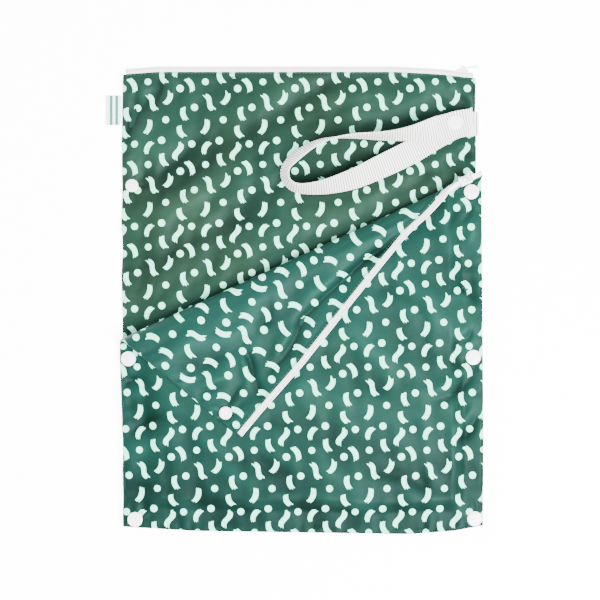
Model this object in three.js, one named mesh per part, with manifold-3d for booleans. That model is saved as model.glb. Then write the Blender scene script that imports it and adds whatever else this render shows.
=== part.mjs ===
// A cloth wet bag for diapers, lying flat: a big zip bag with a smaller zip bag
// snapped onto its front. One top snap of the small bag is undone and that corner,
// with its closed zip, is folded down. Millimetres, +Z up, +Y towards the big zip.
// The origin is the middle of the big bag's back panel, on the ground.

import * as THREE from 'three';
import { mergeVertices } from 'three/addons/utils/BufferGeometryUtils.js';
import Module from 'manifold-3d';

const wasm = await Module();
wasm.setup();

// Cloth and clearances
const CLOTH = 1.0;
const GAP = 0.3;
const SEAM = 2.0;

// Big bag, lying on the ground
const BIG_WIDTH = 301;
const BIG_LENGTH = 380;
const BIG_LOFT = 7.3;
const BIG_COLUMNS = 8;
const BIG_ROWS = 7;

// Small bag, snapped on top of the big one
const SMALL_OVERHANG = 1.5;
const SMALL_WIDTH = BIG_WIDTH + SMALL_OVERHANG;
const SMALL_LENGTH = 296;
const SMALL_LOFT = 7.5;
const MARGIN_FLAT = 16;
const MARGIN_RISE = 13;

// The folded corner of the small bag
const FOLD_APEX_ACROSS = 0.888;
const FOLD_APEX_UP = 0.949;
const FOLD_LEFT_UP = 0.527;
const FOLD_RADIUS_RIGHT = 3.7;
const FOLD_RADIUS_LEFT = 7.6;
const FOLD_THINNING = 34;
const TWIST_LENGTH = 30;
const SETTLE_LENGTH = 25;
const NECK_NEAR = 1.5;
const NECK_WIDTH = 7;
const NECK_EASE = 3.2;
const NECK_HALF = 4.1;
const MOUTH_HALF = 2.2;
const MOUTH_TURN = 2.2;
const HEM = 2.1;
const HEM_FULL = 1.3;
const HEM_SHARE = 0.7;
const CLEAR_NEAR = 6;
const CLEAR_FAR = 22;

// Snap fasteners
const CAP_RADIUS = 6.2;
const CAP_THICK = 1.3;
const CAP_SHAPE = { under: 0.96, edge: 0.45, crown: 0.82 };
const POST_RADIUS = 1.2;
const RING_RADIUS = 5.3;
const STUD_FLANGE = 0.8;
const STUD_KNOB_RADIUS = 2.9;
const STUD_NECK_RADIUS = 2.61;
const STUD_KNOB = 1.4;
const SOCKET_ROOF = 0.6;
const SOCKET_SHAPE = { rim: 0.88, shoulder: 0.5, post: 0.8 };
const SNAP_SIDES = 9;
const BORE_SIDES = 8;

// Zips
const TAPE_THICK = 0.7;
const TAPE_INSIDE = 1.0;
const TAPE_OUTSIDE = 3.3;
const TAPE_BESIDE = 0.9;
const ZIP_HINGE = 0.8;
const ZIP_LOOSE = 1.7;
const CHAIN_GAP = 0.4;
const CHAIN_WIDTH = 4.5;
const CHAIN_THICK = 1.8;
const SLIDER_LENGTH = 10;
const SLIDER_WIDTH = 7.2;
const SLIDER_PLATE = 1.0;
const SLIDER_INNER = 0.8;
const SLIDER_SLOT = 0.7;
const PULL_LENGTH = 14;
const PULL_WIDTH = 8.6;
const PULL_THICK = 1.2;
const PULL_ARM = 2.5;
const PULL_NECK = 4.2;
const PULL_PLAY = 0.45;
const PIVOT_PLAY = 0.4;
const PULL_EYE = { along: 0.5, across: 0.62 };
const BIG_SLIDER_INSET = 12;
const SMALL_SLIDER_INSET = 16;
const BIG_ZIP_RISE = 1.0;
const BIG_PULL_ANGLE = 12;
const SMALL_PULL_ANGLE = 68;

// Wrist strap and side label
const STRAP_WIDTH = 20;
const STRAP_THICK = 1.8;
const STRAP_REACH = 164;
const STRAP_UP = 0.887;
const STRAP_SNAP_INSET = 19;
const STRAP_SNAP_FLAT = 10;
const STRAP_SNAP_FREE = 17;
const STRAP_BEND = 2.4;
const STRAP_TAIL = 1.2;
const STRAP_RISE = 1;
const STRAP_STEPS = 36;
const STRAP_EDGEWISE = 0.1;
const LABEL_WIDTH = 25;
const LABEL_LENGTH = 13.5;
const LABEL_THICK = 0.5;
const LABEL_UP = 0.918;

// Heights that follow from how the pieces stack at a snap
const LIFT = CAP_THICK + GAP;
const PINCHED = 2 * CLOTH + GAP;
const STUD_SEAT = LIFT + PINCHED + GAP;
const KNOB_TOP = STUD_SEAT + STUD_FLANGE + STUD_KNOB;
const SOCKET_TOP = KNOB_TOP + GAP + SOCKET_ROOF;
const SMALL_BASE = SOCKET_TOP + GAP;
const SMALL_TOP = SMALL_BASE + SMALL_LOFT;
const HALF_PINCHED = PINCHED / 2;
const FLAP_LEVEL = SMALL_TOP + GAP + CAP_THICK + GAP + HALF_PINCHED;
const BIG_MARGIN_TOP = LIFT + PINCHED;

// Plan places that follow from the sizes
const BIG_LEFT = -BIG_WIDTH / 2 - 1;
const BIG_BOTTOM = -BIG_LENGTH / 2 + 1.5;
const BIG_MOUTH = BIG_BOTTOM + BIG_LENGTH;
const SMALL_LEFT = BIG_LEFT - 1;
const SMALL_BOTTOM = BIG_BOTTOM + 0.5;

// Outline tables: shares of the bag's width or length, up from its bottom edge
const BIG_SIDES = [
  { up: 0.0, left: 0.003, right: -0.002 },
  { up: 0.6, left: 0.0, right: 0.0 },
  { up: 0.735, left: 0.0, right: -0.006 },
  { up: 0.79, left: 0.0, right: -0.0125 },
  { up: 0.93, left: 0.0, right: -0.0145 },
  { up: 1.0, left: 0.004, right: -0.0145 },
];
const SMALL_SIDES = [
  { up: 0.0, left: 0.01, right: 0.002 },
  { up: 0.25, left: 0.008, right: 0.004 },
  { up: 0.47, left: 0.0, right: 0.002 },
  { up: 1.0, left: 0.0, right: -0.002 },
];
const BOTTOM_SAG = [
  { across: 0.0, drop: 0.0 },
  { across: 0.2, drop: 0.0095 },
  { across: 0.5, drop: 0.013 },
  { across: 0.8, drop: 0.0165 },
  { across: 0.92, drop: 0.009 },
  { across: 1.0, drop: -0.003 },
];
const MOUTH_DIP = [
  { across: 0.0, drop: 0.006 },
  { across: 0.1, drop: 0.0 },
  { across: 0.76, drop: 0.0 },
  { across: 0.88, drop: 0.005 },
  { across: 1.0, drop: 0.0155 },
];

// Soft ridges and valleys: centre, length and width as shares of the bag's width
const BIG_FOLDS = [
  { across: 0.07, up: 0.94, turn: 62, length: 0.11, width: 0.03, height: -0.9 },
  { across: 0.11, up: 0.92, turn: 75, length: 0.13, width: 0.03, height: 1.1 },
  { across: 0.16, up: 0.84, turn: 68, length: 0.16, width: 0.04, height: -0.8 },
  { across: 0.3, up: 0.93, turn: 35, length: 0.14, width: 0.05, height: 0.9 },
  { across: 0.24, up: 0.66, turn: 25, length: 0.2, width: 0.05, height: 0.9 },
  { across: 0.55, up: 0.95, turn: 5, length: 0.2, width: 0.04, height: -0.9 },
];
const SMALL_FOLDS = [
  { across: 0.86, up: 0.8, turn: 55, length: 0.1, width: 0.035, height: 0.8 },
  { across: 0.9, up: 0.6, turn: 30, length: 0.11, width: 0.04, height: 1.0 },
  { across: 0.78, up: 0.5, turn: 12, length: 0.08, width: 0.04, height: -0.8 },
  { across: 0.16, up: 0.2, turn: 100, length: 0.16, width: 0.05, height: 0.9 },
  { across: 0.45, up: 0.13, turn: 4, length: 0.25, width: 0.05, height: -0.8 },
  { across: 0.62, up: 0.08, turn: 170, length: 0.2, width: 0.045, height: 0.9 },
];

// How the flap lies between its fold (0) and its zip (1): blend of the fold's
// height and the resting height, and a dip as a share of the small bag's loft
const FLAP_RELIEF = [
  { along: 0.0, blend: 1.0, dip: 0.0 },
  { along: 0.2, blend: 1.03, dip: 0.0 },
  { along: 0.4, blend: 0.74, dip: 0.0 },
  { along: 0.6, blend: 0.24, dip: -0.05 },
  { along: 0.78, blend: 0.0, dip: -0.2 },
  { along: 1.0, blend: 0.0, dip: 0.0 },
];

// The dip fades in along the fold, from one share of its length to the other
const VALLEY_FULL = 0.55;
const VALLEY_OUT = 0.75;

// Where the small bag's upper edge lies on the big bag, as shares of its sizes
const COVERED = { low: 0.43, high: 0.49, slope: 0.37 };

// Stations along the big zip, as shares of its length
const BIG_ZIP_STATIONS = [0, 0.1, 0.3, 0.5, 0.64, 0.76, 0.88, 0.94, 1];

// How far the zip rolls up beyond the cloth, by distance along the fold from the
// apex as a share of the twist's length
const ZIP_ROLL = [
  { along: -1.2, roll: 52 },
  { along: -0.3, roll: 52 },
  { along: 0.0, roll: 58 },
  { along: 0.17, roll: 56 },
  { along: 0.34, roll: 36 },
  { along: 0.5, roll: 16 },
  { along: 0.7, roll: 0 },
  { along: 99, roll: 0 },
];

// Snaps: inset from the small bag's side edge, and height as a share of its length
const SNAPS = [
  { name: 'top_left', side: -1, inset: 9.7, up: 0.963, open: true },
  { name: 'top_right', side: 1, inset: 8.8, up: 0.944, open: false },
  { name: 'middle_left', side: -1, inset: 7.4, up: 0.474, open: false },
  { name: 'middle_right', side: 1, inset: 8.3, up: 0.478, open: false },
  { name: 'bottom_left', side: -1, inset: 10.0, up: 0.0215, open: false },
  { name: 'bottom_right', side: 1, inset: 7.2, up: 0.0235, open: false },
];
const FLAP_SNAP = { across: 8.6, fromMouth: 13.5 };

// Strap route from the seam out and back: shares of the reach, and roll of the
// webbing's width from flat (0) over its edge (90) to flat on its other face (180)
const STRAP_ROUTE = [
  { out: 0.03, across: 0.0, heading: 184, roll: 0, above: 0.2 },
  { out: 0.11, across: -0.018, heading: 196, roll: 0, above: 1.1 },
  { out: 0.21, across: -0.07, heading: 204, roll: 0, above: 0.8 },
  { out: 0.34, across: -0.148, heading: 204, roll: 4, above: 0.0 },
  { out: 0.52, across: -0.236, heading: 200, roll: 24, above: 0.0 },
  { out: 0.63, across: -0.285, heading: 195, roll: 38, above: 0.0 },
  { out: 0.77, across: -0.325, heading: 188, roll: 58, above: 0.0 },
  { out: 0.89, across: -0.335, heading: 175, roll: 72, above: 0.0 },
  { out: 0.955, across: -0.31, heading: 150, roll: 74, above: 0.0 },
  { out: 0.975, across: -0.245, heading: 100, roll: 68, above: 0.0 },
  { out: 0.935, across: -0.185, heading: 60, roll: 64, above: 0.0 },
  { out: 0.855, across: -0.125, heading: 36, roll: 70, above: 0.0 },
  { out: 0.76, across: -0.085, heading: 16, roll: 80, above: 0.0 },
  { out: 0.63, across: -0.07, heading: 1, roll: 92, above: 0.0 },
  { out: 0.5, across: -0.07, heading: 2, roll: 101, above: 0.0 },
  { out: 0.41, across: -0.066, heading: 6, roll: 110, above: 1.2 },
  { out: 0.32, across: -0.055, heading: 10, roll: 124, above: 3.6 },
  { out: 0.23, across: -0.035, heading: 15, roll: 146, above: 6.0 },
  { out: 0.15, across: -0.015, heading: 19, roll: 172, above: 7.2 },
  { out: 0.1, across: -0.001, heading: 16, roll: 180, above: 7.2 },
  { out: 0.02, across: 0.012, heading: 6, roll: 180, above: 4.6 },
];

// Colours from the photo
const materials = {
  print: new THREE.MeshStandardMaterial({ color: 0x3e7a6a, roughness: 0.62, metalness: 0 }),
  zip: new THREE.MeshStandardMaterial({ color: 0xf2f2f0, roughness: 0.7, metalness: 0 }),
  slider: new THREE.MeshStandardMaterial({ color: 0xf4f4f3, roughness: 0.35, metalness: 0 }),
  snap: new THREE.MeshStandardMaterial({ color: 0xf6f5f4, roughness: 0.3, metalness: 0 }),
  webbing: new THREE.MeshStandardMaterial({ color: 0xf1efee, roughness: 0.8, metalness: 0 }),
  label: new THREE.MeshStandardMaterial({ color: 0xf7f7f5, roughness: 0.75, metalness: 0 }),
};

// Small helpers

const RAD = Math.PI / 180;
const TINY = 1e-6;
const WELD = 1e-4;

function ease(from, to, x) {
  const t = THREE.MathUtils.clamp((x - from) / (to - from), 0, 1);
  return t * t * (3 - 2 * t);
}

function lookup(table, key, at, column) {
  let k = 0;
  while (k < table.length - 2 && at > table[k + 1][key]) {
    k += 1;
  }
  const low = table[k];
  const high = table[k + 1];
  const t = THREE.MathUtils.clamp((at - low[key]) / (high[key] - low[key]), 0, 1);
  return low[column] + (high[column] - low[column]) * t;
}

// Height of the soft ridges and valleys of a table at one place
function foldHeight(folds, width, length, across, up) {
  let sum = 0;
  for (const fold of folds) {
    const dx = (across - fold.across) * width;
    const dy = (up - fold.up) * length;
    const along = dx * Math.cos(fold.turn * RAD) + dy * Math.sin(fold.turn * RAD);
    const beside = -dx * Math.sin(fold.turn * RAD) + dy * Math.cos(fold.turn * RAD);
    const a = along / (fold.length * width);
    const b = beside / (fold.width * width);
    sum += fold.height * Math.exp(-a * a - b * b);
  }
  return sum;
}

// A geometry from points and triangles, its faces turned outwards
function closedBody(points, faces) {
  let volume = 0;
  for (const [a, b, c] of faces) {
    volume += points[a].dot(points[b].clone().cross(points[c]));
  }
  const index = [];
  for (const [a, b, c] of faces) {
    index.push(a, volume > 0 ? b : c, volume > 0 ? c : b);
  }
  const geometry = new THREE.BufferGeometry();
  const flat = points.flatMap((p) => [p.x, p.y, p.z]);
  geometry.setAttribute('position', new THREE.Float32BufferAttribute(flat, 3));
  geometry.setIndex(index);
  return geometry;
}

function quad(faces, a, b, c, d) {
  faces.push([a, b, c], [a, c, d]);
}

// An open pouch of two walls joined at both sides and the bottom. place(layer, i, j)
// gives a point: layers are 0 front outside, 1 front inside, 2 back inside, 3 back outside.
function pouch(columns, rows, place) {
  const points = [];
  const faces = [];
  for (let layer = 0; layer < 4; layer += 1) {
    for (let j = 0; j <= rows; j += 1) {
      for (let i = 0; i <= columns; i += 1) {
        points.push(place(layer, i, j));
      }
    }
  }
  const at = (layer, i, j) => (layer * (rows + 1) + j) * (columns + 1) + i;
  for (let i = 0; i < columns; i += 1) {
    for (let j = 0; j < rows; j += 1) {
      quad(faces, at(0, i, j), at(0, i + 1, j), at(0, i + 1, j + 1), at(0, i, j + 1));
      quad(faces, at(1, i, j), at(1, i, j + 1), at(1, i + 1, j + 1), at(1, i + 1, j));
      quad(faces, at(2, i, j), at(2, i + 1, j), at(2, i + 1, j + 1), at(2, i, j + 1));
      quad(faces, at(3, i, j), at(3, i, j + 1), at(3, i + 1, j + 1), at(3, i + 1, j));
    }
    quad(faces, at(3, i, 0), at(3, i + 1, 0), at(0, i + 1, 0), at(0, i, 0));
    quad(faces, at(2, i, 0), at(1, i, 0), at(1, i + 1, 0), at(2, i + 1, 0));
    quad(faces, at(0, i, rows), at(0, i + 1, rows), at(1, i + 1, rows), at(1, i, rows));
    quad(faces, at(2, i, rows), at(2, i + 1, rows), at(3, i + 1, rows), at(3, i, rows));
  }
  for (let j = 0; j < rows; j += 1) {
    const r = columns;
    quad(faces, at(3, r, j), at(3, r, j + 1), at(0, r, j + 1), at(0, r, j));
    quad(faces, at(3, 0, j), at(0, 0, j), at(0, 0, j + 1), at(3, 0, j + 1));
    quad(faces, at(2, r, j), at(1, r, j), at(1, r, j + 1), at(2, r, j + 1));
    quad(faces, at(2, 0, j), at(2, 0, j + 1), at(1, 0, j + 1), at(1, 0, j));
  }
  quad(faces, at(0, 0, rows), at(1, 0, rows), at(2, 0, rows), at(3, 0, rows));
  quad(faces, at(1, columns, rows), at(0, columns, rows), at(3, columns, rows), at(2, columns, rows));
  return closedBody(points, faces);
}

// A flat strip swept through sections; each section is a row of [front, back] pairs
function strip(sections) {
  const points = sections.flat(2);
  const pairs = sections[0].length;
  const faces = [];
  const at = (k, m, side) => (k * pairs + m) * 2 + side;
  for (let k = 0; k < sections.length - 1; k += 1) {
    for (let m = 0; m < pairs - 1; m += 1) {
      quad(faces, at(k, m, 0), at(k + 1, m, 0), at(k + 1, m + 1, 0), at(k, m + 1, 0));
      quad(faces, at(k, m, 1), at(k, m + 1, 1), at(k + 1, m + 1, 1), at(k + 1, m, 1));
    }
    const e = pairs - 1;
    quad(faces, at(k, 0, 0), at(k, 0, 1), at(k + 1, 0, 1), at(k + 1, 0, 0));
    quad(faces, at(k, e, 0), at(k + 1, e, 0), at(k + 1, e, 1), at(k, e, 1));
  }
  const z = sections.length - 1;
  for (let m = 0; m < pairs - 1; m += 1) {
    quad(faces, at(0, m, 0), at(0, m + 1, 0), at(0, m + 1, 1), at(0, m, 1));
    quad(faces, at(z, m, 0), at(z, m, 1), at(z, m + 1, 1), at(z, m + 1, 0));
  }
  return closedBody(points, faces);
}

function solid(geometry) {
  const bare = geometry.clone();
  bare.deleteAttribute('normal');
  bare.deleteAttribute('uv');
  const merged = mergeVertices(bare, WELD);
  return new wasm.Manifold(new wasm.Mesh({
    numProp: 3,
    vertProperties: new Float32Array(merged.attributes.position.array),
    triVerts: new Uint32Array(merged.index.array),
  }));
}

function fromSolid(manifold) {
  const mesh = manifold.getMesh();
  const geometry = new THREE.BufferGeometry();
  geometry.setAttribute('position', new THREE.BufferAttribute(mesh.vertProperties, 3));
  geometry.setIndex(new THREE.BufferAttribute(mesh.triVerts, 1));
  return geometry;
}

function boxBetween(low, high) {
  const size = high.map((value, k) => value - low[k]);
  const geometry = new THREE.BoxGeometry(...size);
  geometry.translate(...low.map((value, k) => value + size[k] / 2));
  return geometry;
}

function lathe(profile) {
  const geometry = new THREE.LatheGeometry(profile.map(([r, z]) => new THREE.Vector2(r, z)), SNAP_SIDES);
  geometry.rotateX(Math.PI / 2);
  return geometry;
}

function drill(geometry, holes) {
  let body = solid(geometry);
  for (const hole of holes) {
    const bore = POST_RADIUS + GAP;
    const tool = new THREE.CylinderGeometry(bore, bore, hole.depth, BORE_SIDES);
    tool.rotateX(Math.PI / 2);
    tool.translate(hole.x, hole.y, hole.z);
    body = body.subtract(solid(tool));
  }
  return fromSolid(body);
}

// Big bag

function bigSide(side, up) {
  const shift = lookup(BIG_SIDES, 'up', up, side < 0 ? 'left' : 'right') * BIG_WIDTH;
  return (side < 0 ? BIG_LEFT : BIG_LEFT + BIG_WIDTH) + shift;
}

function bigBottom(x) {
  return BIG_BOTTOM - lookup(BOTTOM_SAG, 'across', (x - BIG_LEFT) / BIG_WIDTH, 'drop') * BIG_LENGTH;
}

function bigMouth(x) {
  return BIG_MOUTH - lookup(MOUTH_DIP, 'across', (x - BIG_LEFT) / BIG_WIDTH, 'drop') * BIG_LENGTH;
}

function marginRise(distance) {
  return ease(MARGIN_FLAT, MARGIN_FLAT + MARGIN_RISE, distance);
}

function bigFullness(x, y) {
  const up = (y - BIG_BOTTOM) / BIG_LENGTH;
  const sides = marginRise(x - bigSide(-1, up)) * marginRise(bigSide(1, up) - x);
  const full = sides * marginRise(y - bigBottom(x));
  return Math.max(full, ease(2 * MARGIN_RISE, MARGIN_RISE, bigMouth(x) - y));
}

// Folds show only where nothing rests on the big bag
function bigTop(x, y) {
  const full = bigFullness(x, y);
  const across = (x - BIG_LEFT) / BIG_WIDTH;
  const up = (y - BIG_BOTTOM) / BIG_LENGTH;
  const belowMouth = ease(MARGIN_RISE, 2 * MARGIN_RISE, bigMouth(x) - y);
  const bare = full * belowMouth * ease(COVERED.low, COVERED.high, up - COVERED.slope * across);
  const folds = foldHeight(BIG_FOLDS, BIG_WIDTH, BIG_LENGTH, across, up);
  return BIG_MARGIN_TOP + (BIG_LOFT - BIG_MARGIN_TOP) * full + folds * bare;
}

function bigUnder(x, y) {
  return LIFT * (1 - bigFullness(x, y));
}

// Grid stations along an edge: the margin in steps, then the middle in equal shares
const MARGIN_STEPS = [0, MARGIN_FLAT, MARGIN_FLAT + MARGIN_RISE / 2, MARGIN_FLAT + MARGIN_RISE];
const MOUTH_STEPS = [0, MARGIN_RISE, 2 * MARGIN_RISE];

function stationsBetween(low, high, count, inner, highSteps) {
  const start = low + MARGIN_STEPS[MARGIN_STEPS.length - 1];
  const end = high - highSteps[highSteps.length - 1];
  const seam = (step, sewn) => (step === 0 && inner && sewn ? SEAM : step);
  const list = MARGIN_STEPS.slice(0, -1).map((step) => low + seam(step, true));
  for (let k = 0; k <= count; k += 1) {
    list.push(start + ((end - start) * k) / count);
  }
  const sewn = highSteps === MARGIN_STEPS;
  highSteps.slice(0, -1).reverse().forEach((step) => list.push(high - seam(step, sewn)));
  return list;
}

function bigPoint(layer, i, j) {
  const inner = layer === 1 || layer === 2;
  const nominalRows = stationsBetween(BIG_BOTTOM, BIG_MOUTH, BIG_ROWS, inner, MOUTH_STEPS);
  const up = (nominalRows[j] - BIG_BOTTOM) / BIG_LENGTH;
  const xs = stationsBetween(bigSide(-1, up), bigSide(1, up), BIG_COLUMNS, inner, MARGIN_STEPS);
  const x = xs[i];
  const y = stationsBetween(bigBottom(x), bigMouth(x), BIG_ROWS, inner, MOUTH_STEPS)[j];
  const z = [bigTop(x, y), bigTop(x, y) - CLOTH, bigUnder(x, y) + CLOTH, bigUnder(x, y)][layer];
  return new THREE.Vector3(x, y, z);
}

// Small bag: plan of the fold

const fold = {};
fold.apex = new THREE.Vector2(
  SMALL_LEFT + FOLD_APEX_ACROSS * SMALL_WIDTH,
  SMALL_BOTTOM + FOLD_APEX_UP * SMALL_LENGTH,
);
fold.left = new THREE.Vector2(SMALL_LEFT, SMALL_BOTTOM + FOLD_LEFT_UP * SMALL_LENGTH);
fold.along = fold.left.clone().sub(fold.apex).normalize();
fold.across = new THREE.Vector2(fold.along.y, -fold.along.x);
fold.length = fold.left.distanceTo(fold.apex);
fold.slope = Math.abs(fold.along.y / fold.along.x);
fold.flapShare = fold.slope / (1 + fold.slope * fold.slope);

const SMALL_RIGHT = SMALL_LEFT + SMALL_WIDTH;
const NECK_LEFT = fold.apex.x + NECK_NEAR;
const NECK_RIGHT = NECK_LEFT + NECK_WIDTH;

function smallSide(side, up) {
  const shift = lookup(SMALL_SIDES, 'up', up, side < 0 ? 'left' : 'right') * SMALL_WIDTH;
  return (side < 0 ? SMALL_LEFT : SMALL_RIGHT) + shift;
}

function smallBottom(x) {
  return SMALL_BOTTOM - lookup(BOTTOM_SAG, 'across', (x - SMALL_LEFT) / SMALL_WIDTH, 'drop') * BIG_LENGTH;
}

// Columns of the small bag, closer together where the fold begins
function columnPlan() {
  const spans = [
    { to: SMALL_LEFT + MARGIN_FLAT, count: 1 },
    { to: SMALL_LEFT + MARGIN_FLAT + MARGIN_RISE, count: 2 },
    { to: fold.apex.x - TWIST_LENGTH, count: 6 },
    { to: fold.apex.x, count: 6 },
    { to: NECK_LEFT, count: 1 },
    { to: NECK_RIGHT, count: 1 },
    { to: NECK_RIGHT + NECK_EASE, count: 1 },
    { to: SMALL_RIGHT - MARGIN_FLAT, count: 1 },
    { to: SMALL_RIGHT, count: 2 },
  ];
  const list = [SMALL_LEFT];
  for (const span of spans) {
    const from = list[list.length - 1];
    for (let k = 1; k <= span.count; k += 1) {
      list.push(from + ((span.to - from) * k) / span.count);
    }
  }
  return list;
}

const columns = columnPlan().map((x) => {
  const t = (fold.apex.x - x) / -fold.along.x;
  const share = THREE.MathUtils.clamp(t / fold.length, 0, 1);
  const radius = FOLD_RADIUS_RIGHT + (FOLD_RADIUS_LEFT - FOLD_RADIUS_RIGHT) * share;
  const past = Math.max(t, 0);
  const zipRoom = (TAPE_OUTSIDE + CHAIN_THICK + GAP) * ease(0, 2, past / TWIST_LENGTH);
  const whole = fold.flapShare * past + (Math.PI - 1) * radius - HALF_PINCHED - zipRoom;
  const turned = ease(0, 1, t / TWIST_LENGTH);
  const path = MOUTH_TURN + (whole - MOUTH_TURN) * turned;
  return { x, t, radius, path };
});
const LAST = columns.length - 1;

const MARGIN_ROWS = MARGIN_STEPS.length - 1;
const LOWER_STEPS = 4;
const THIN_STEPS = 3;
const ARC_STEPS = 6;
const FLAP_STEPS = FLAP_RELIEF.length + 1;
const LOWER_ROWS = MARGIN_ROWS + LOWER_STEPS + THIN_STEPS;
const SMALL_ROWS = LOWER_ROWS + ARC_STEPS + FLAP_STEPS;

function inNeck(x) {
  return x > NECK_LEFT - TINY && x < NECK_RIGHT + TINY;
}

// Height in plan at which a column's cloth starts to turn over
function foldStart(column) {
  return planOnFold(column, -(column.radius + HALF_PINCHED)).y;
}

// Row stations: below the fold a plan height, past it a length along the cloth
function rowStation(column, j, inner) {
  const pivot = foldStart(column);
  const bottom = smallBottom(column.x);
  const marginTop = bottom + MARGIN_FLAT + MARGIN_RISE;
  const thinStart = pivot - FOLD_THINNING;
  if (j === 0) {
    return { y: bottom + (inner ? SEAM : 0), s: 0 };
  }
  const lower = j - MARGIN_ROWS;
  if (lower < 0) {
    return { y: bottom + MARGIN_STEPS[j], s: 0 };
  }
  if (lower <= LOWER_STEPS) {
    return { y: marginTop + ((thinStart - marginTop) * lower) / LOWER_STEPS, s: 0 };
  }
  if (j <= LOWER_ROWS) {
    return { y: thinStart + (FOLD_THINNING * (lower - LOWER_STEPS)) / THIN_STEPS, s: 0 };
  }
  const k = j - LOWER_ROWS;
  const arc = Math.min(Math.PI * column.radius, (column.path * ARC_STEPS) / (ARC_STEPS + FLAP_STEPS));
  if (k <= ARC_STEPS) {
    return { y: pivot, s: (arc * k) / ARC_STEPS };
  }
  const hem = Math.min(HEM, HEM_SHARE * (column.path - arc));
  const flat = column.path - arc - hem;
  const lengths = FLAP_RELIEF.map((row) => flat * row.along);
  lengths.push(flat + hem * (1 - HEM_FULL / HEM), flat + hem);
  return { y: pivot, s: arc + lengths[k - ARC_STEPS] };
}

// Plan point at a distance w across the fold line, on the column's own upright line
function planOnFold(column, w) {
  const t = column.t - fold.slope * w;
  return new THREE.Vector2(
    fold.apex.x + fold.along.x * t + fold.across.x * w,
    fold.apex.y + fold.along.y * t + fold.across.y * w,
  );
}

// Half the small bag's thickness: pinched at its seams, fold and mouth
function bodyHalf(column, y, s) {
  const up = (y - SMALL_BOTTOM) / SMALL_LENGTH;
  const pivot = foldStart(column);
  const sides = marginRise(column.x - smallSide(-1, up)) * marginRise(smallSide(1, up) - column.x);
  const full = sides * marginRise(y - smallBottom(column.x)) * ease(0, FOLD_THINNING, pivot - y);
  let half = HALF_PINCHED + (SMALL_LOFT / 2 - HALF_PINCHED) * full;
  if (inNeck(column.x)) {
    const open = marginRise(y - smallBottom(column.x));
    half = NECK_HALF + (SMALL_LOFT / 2 - NECK_HALF) * ease(0, FOLD_THINNING, pivot - y);
    half = HALF_PINCHED + (half - HALF_PINCHED) * open;
  }
  const toMouth = column.path - s + Math.max(pivot - y, 0);
  const mouth = THREE.MathUtils.clamp((HEM - toMouth) / (HEM - HEM_FULL), 0, 1);
  return Math.max(half, HALF_PINCHED + (MOUTH_HALF - HALF_PINCHED) * mouth);
}

// Middle surface of the small bag with its direction outwards and its front normal
function smallFrame(column, y, s) {
  const half = bodyHalf(column, y, s);
  const pivotHalf = bodyHalf(column, foldStart(column), 0);
  if (s === 0 && y < foldStart(column) - TINY) {
    const up = (y - SMALL_BOTTOM) / SMALL_LENGTH;
    const share = (column.x - SMALL_LEFT) / SMALL_WIDTH;
    const low = smallSide(-1, up);
    const x = low + share * (smallSide(1, up) - low);
    return {
      middle: new THREE.Vector3(x, y, SMALL_BASE + half),
      outwards: new THREE.Vector3(0, 1, 0),
      front: new THREE.Vector3(0, 0, 1),
      half,
      up,
      share,
    };
  }
  const r = column.radius;
  const angle = Math.min(s / r, Math.PI);
  const flat = Math.max(s - Math.PI * r, 0);
  const pivotW = -(r + HALF_PINCHED);
  const w = pivotW + r * Math.sin(angle) - flat;
  const t = column.t - fold.slope * (pivotW + s);
  const thicker = (half - pivotHalf) * Math.max(Math.cos(angle), 0);
  let z = SMALL_BASE + pivotHalf + thicker + r - r * Math.cos(angle);
  const flatLength = column.path - Math.PI * r - HEM;
  if (flat > 0 && flatLength > 0) {
    const along = Math.min(flat / flatLength, 1);
    const settled = Math.min(flatLength / SETTLE_LENGTH, 1);
    const blend = lookup(FLAP_RELIEF, 'along', along, 'blend');
    const valley = settled * ease(VALLEY_OUT, VALLEY_FULL, column.t / fold.length);
    const dip = lookup(FLAP_RELIEF, 'along', along, 'dip') * SMALL_LOFT * valley;
    z += (FLAP_LEVEL - z) * (1 - blend) * settled + dip;
  }
  const cos = Math.cos(angle);
  const sin = Math.sin(angle);
  return {
    middle: new THREE.Vector3(
      fold.apex.x + fold.along.x * t + fold.across.x * w,
      fold.apex.y + fold.along.y * t + fold.across.y * w,
      z,
    ),
    outwards: new THREE.Vector3(
      fold.across.x * cos - fold.along.x * fold.slope,
      fold.across.y * cos - fold.along.y * fold.slope,
      sin,
    ).normalize(),
    front: new THREE.Vector3(-fold.across.x * sin, -fold.across.y * sin, cos),
    half,
    up: null,
    share: 0,
  };
}

function smallPoint(layer, i, j) {
  const inner = layer === 1 || layer === 2;
  const column = columns[i];
  const station = rowStation(column, j, inner);
  const frame = smallFrame(column, station.y, station.s);
  const side = layer < 2 ? 1 : -1;
  const depth = inner ? frame.half - CLOTH : frame.half;
  const point = frame.middle.clone().addScaledVector(frame.front, side * depth);
  if (side > 0 && frame.up !== null) {
    const below = ease(0, FOLD_THINNING, foldStart(column) - station.y);
    const bare = ease(HALF_PINCHED, SMALL_LOFT / 2, frame.half) * below * clearOfFlap(point);
    point.z += foldHeight(SMALL_FOLDS, SMALL_WIDTH, SMALL_LENGTH, frame.share, frame.up) * bare;
  }
  if (inner && (i === 0 || i === LAST)) {
    const inwards = columns[i === 0 ? 1 : LAST - 1];
    const other = smallFrame(inwards, rowStation(inwards, j, inner).y, rowStation(inwards, j, inner).s);
    const step = other.middle.clone().sub(frame.middle).setZ(0);
    point.addScaledVector(step.normalize(), SEAM);
  }
  return point;
}

// Folds of the lower part fade out under the flap, which rests on it
function clearOfFlap(point) {
  const zipX = point.x - fold.apex.x;
  const zipY = point.y - fold.apex.y;
  const turn = 2 * Math.atan(fold.slope);
  const beside = zipX * Math.sin(turn) - zipY * Math.cos(turn);
  return ease(CLEAR_NEAR, CLEAR_FAR, beside);
}

// Snap places

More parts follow.
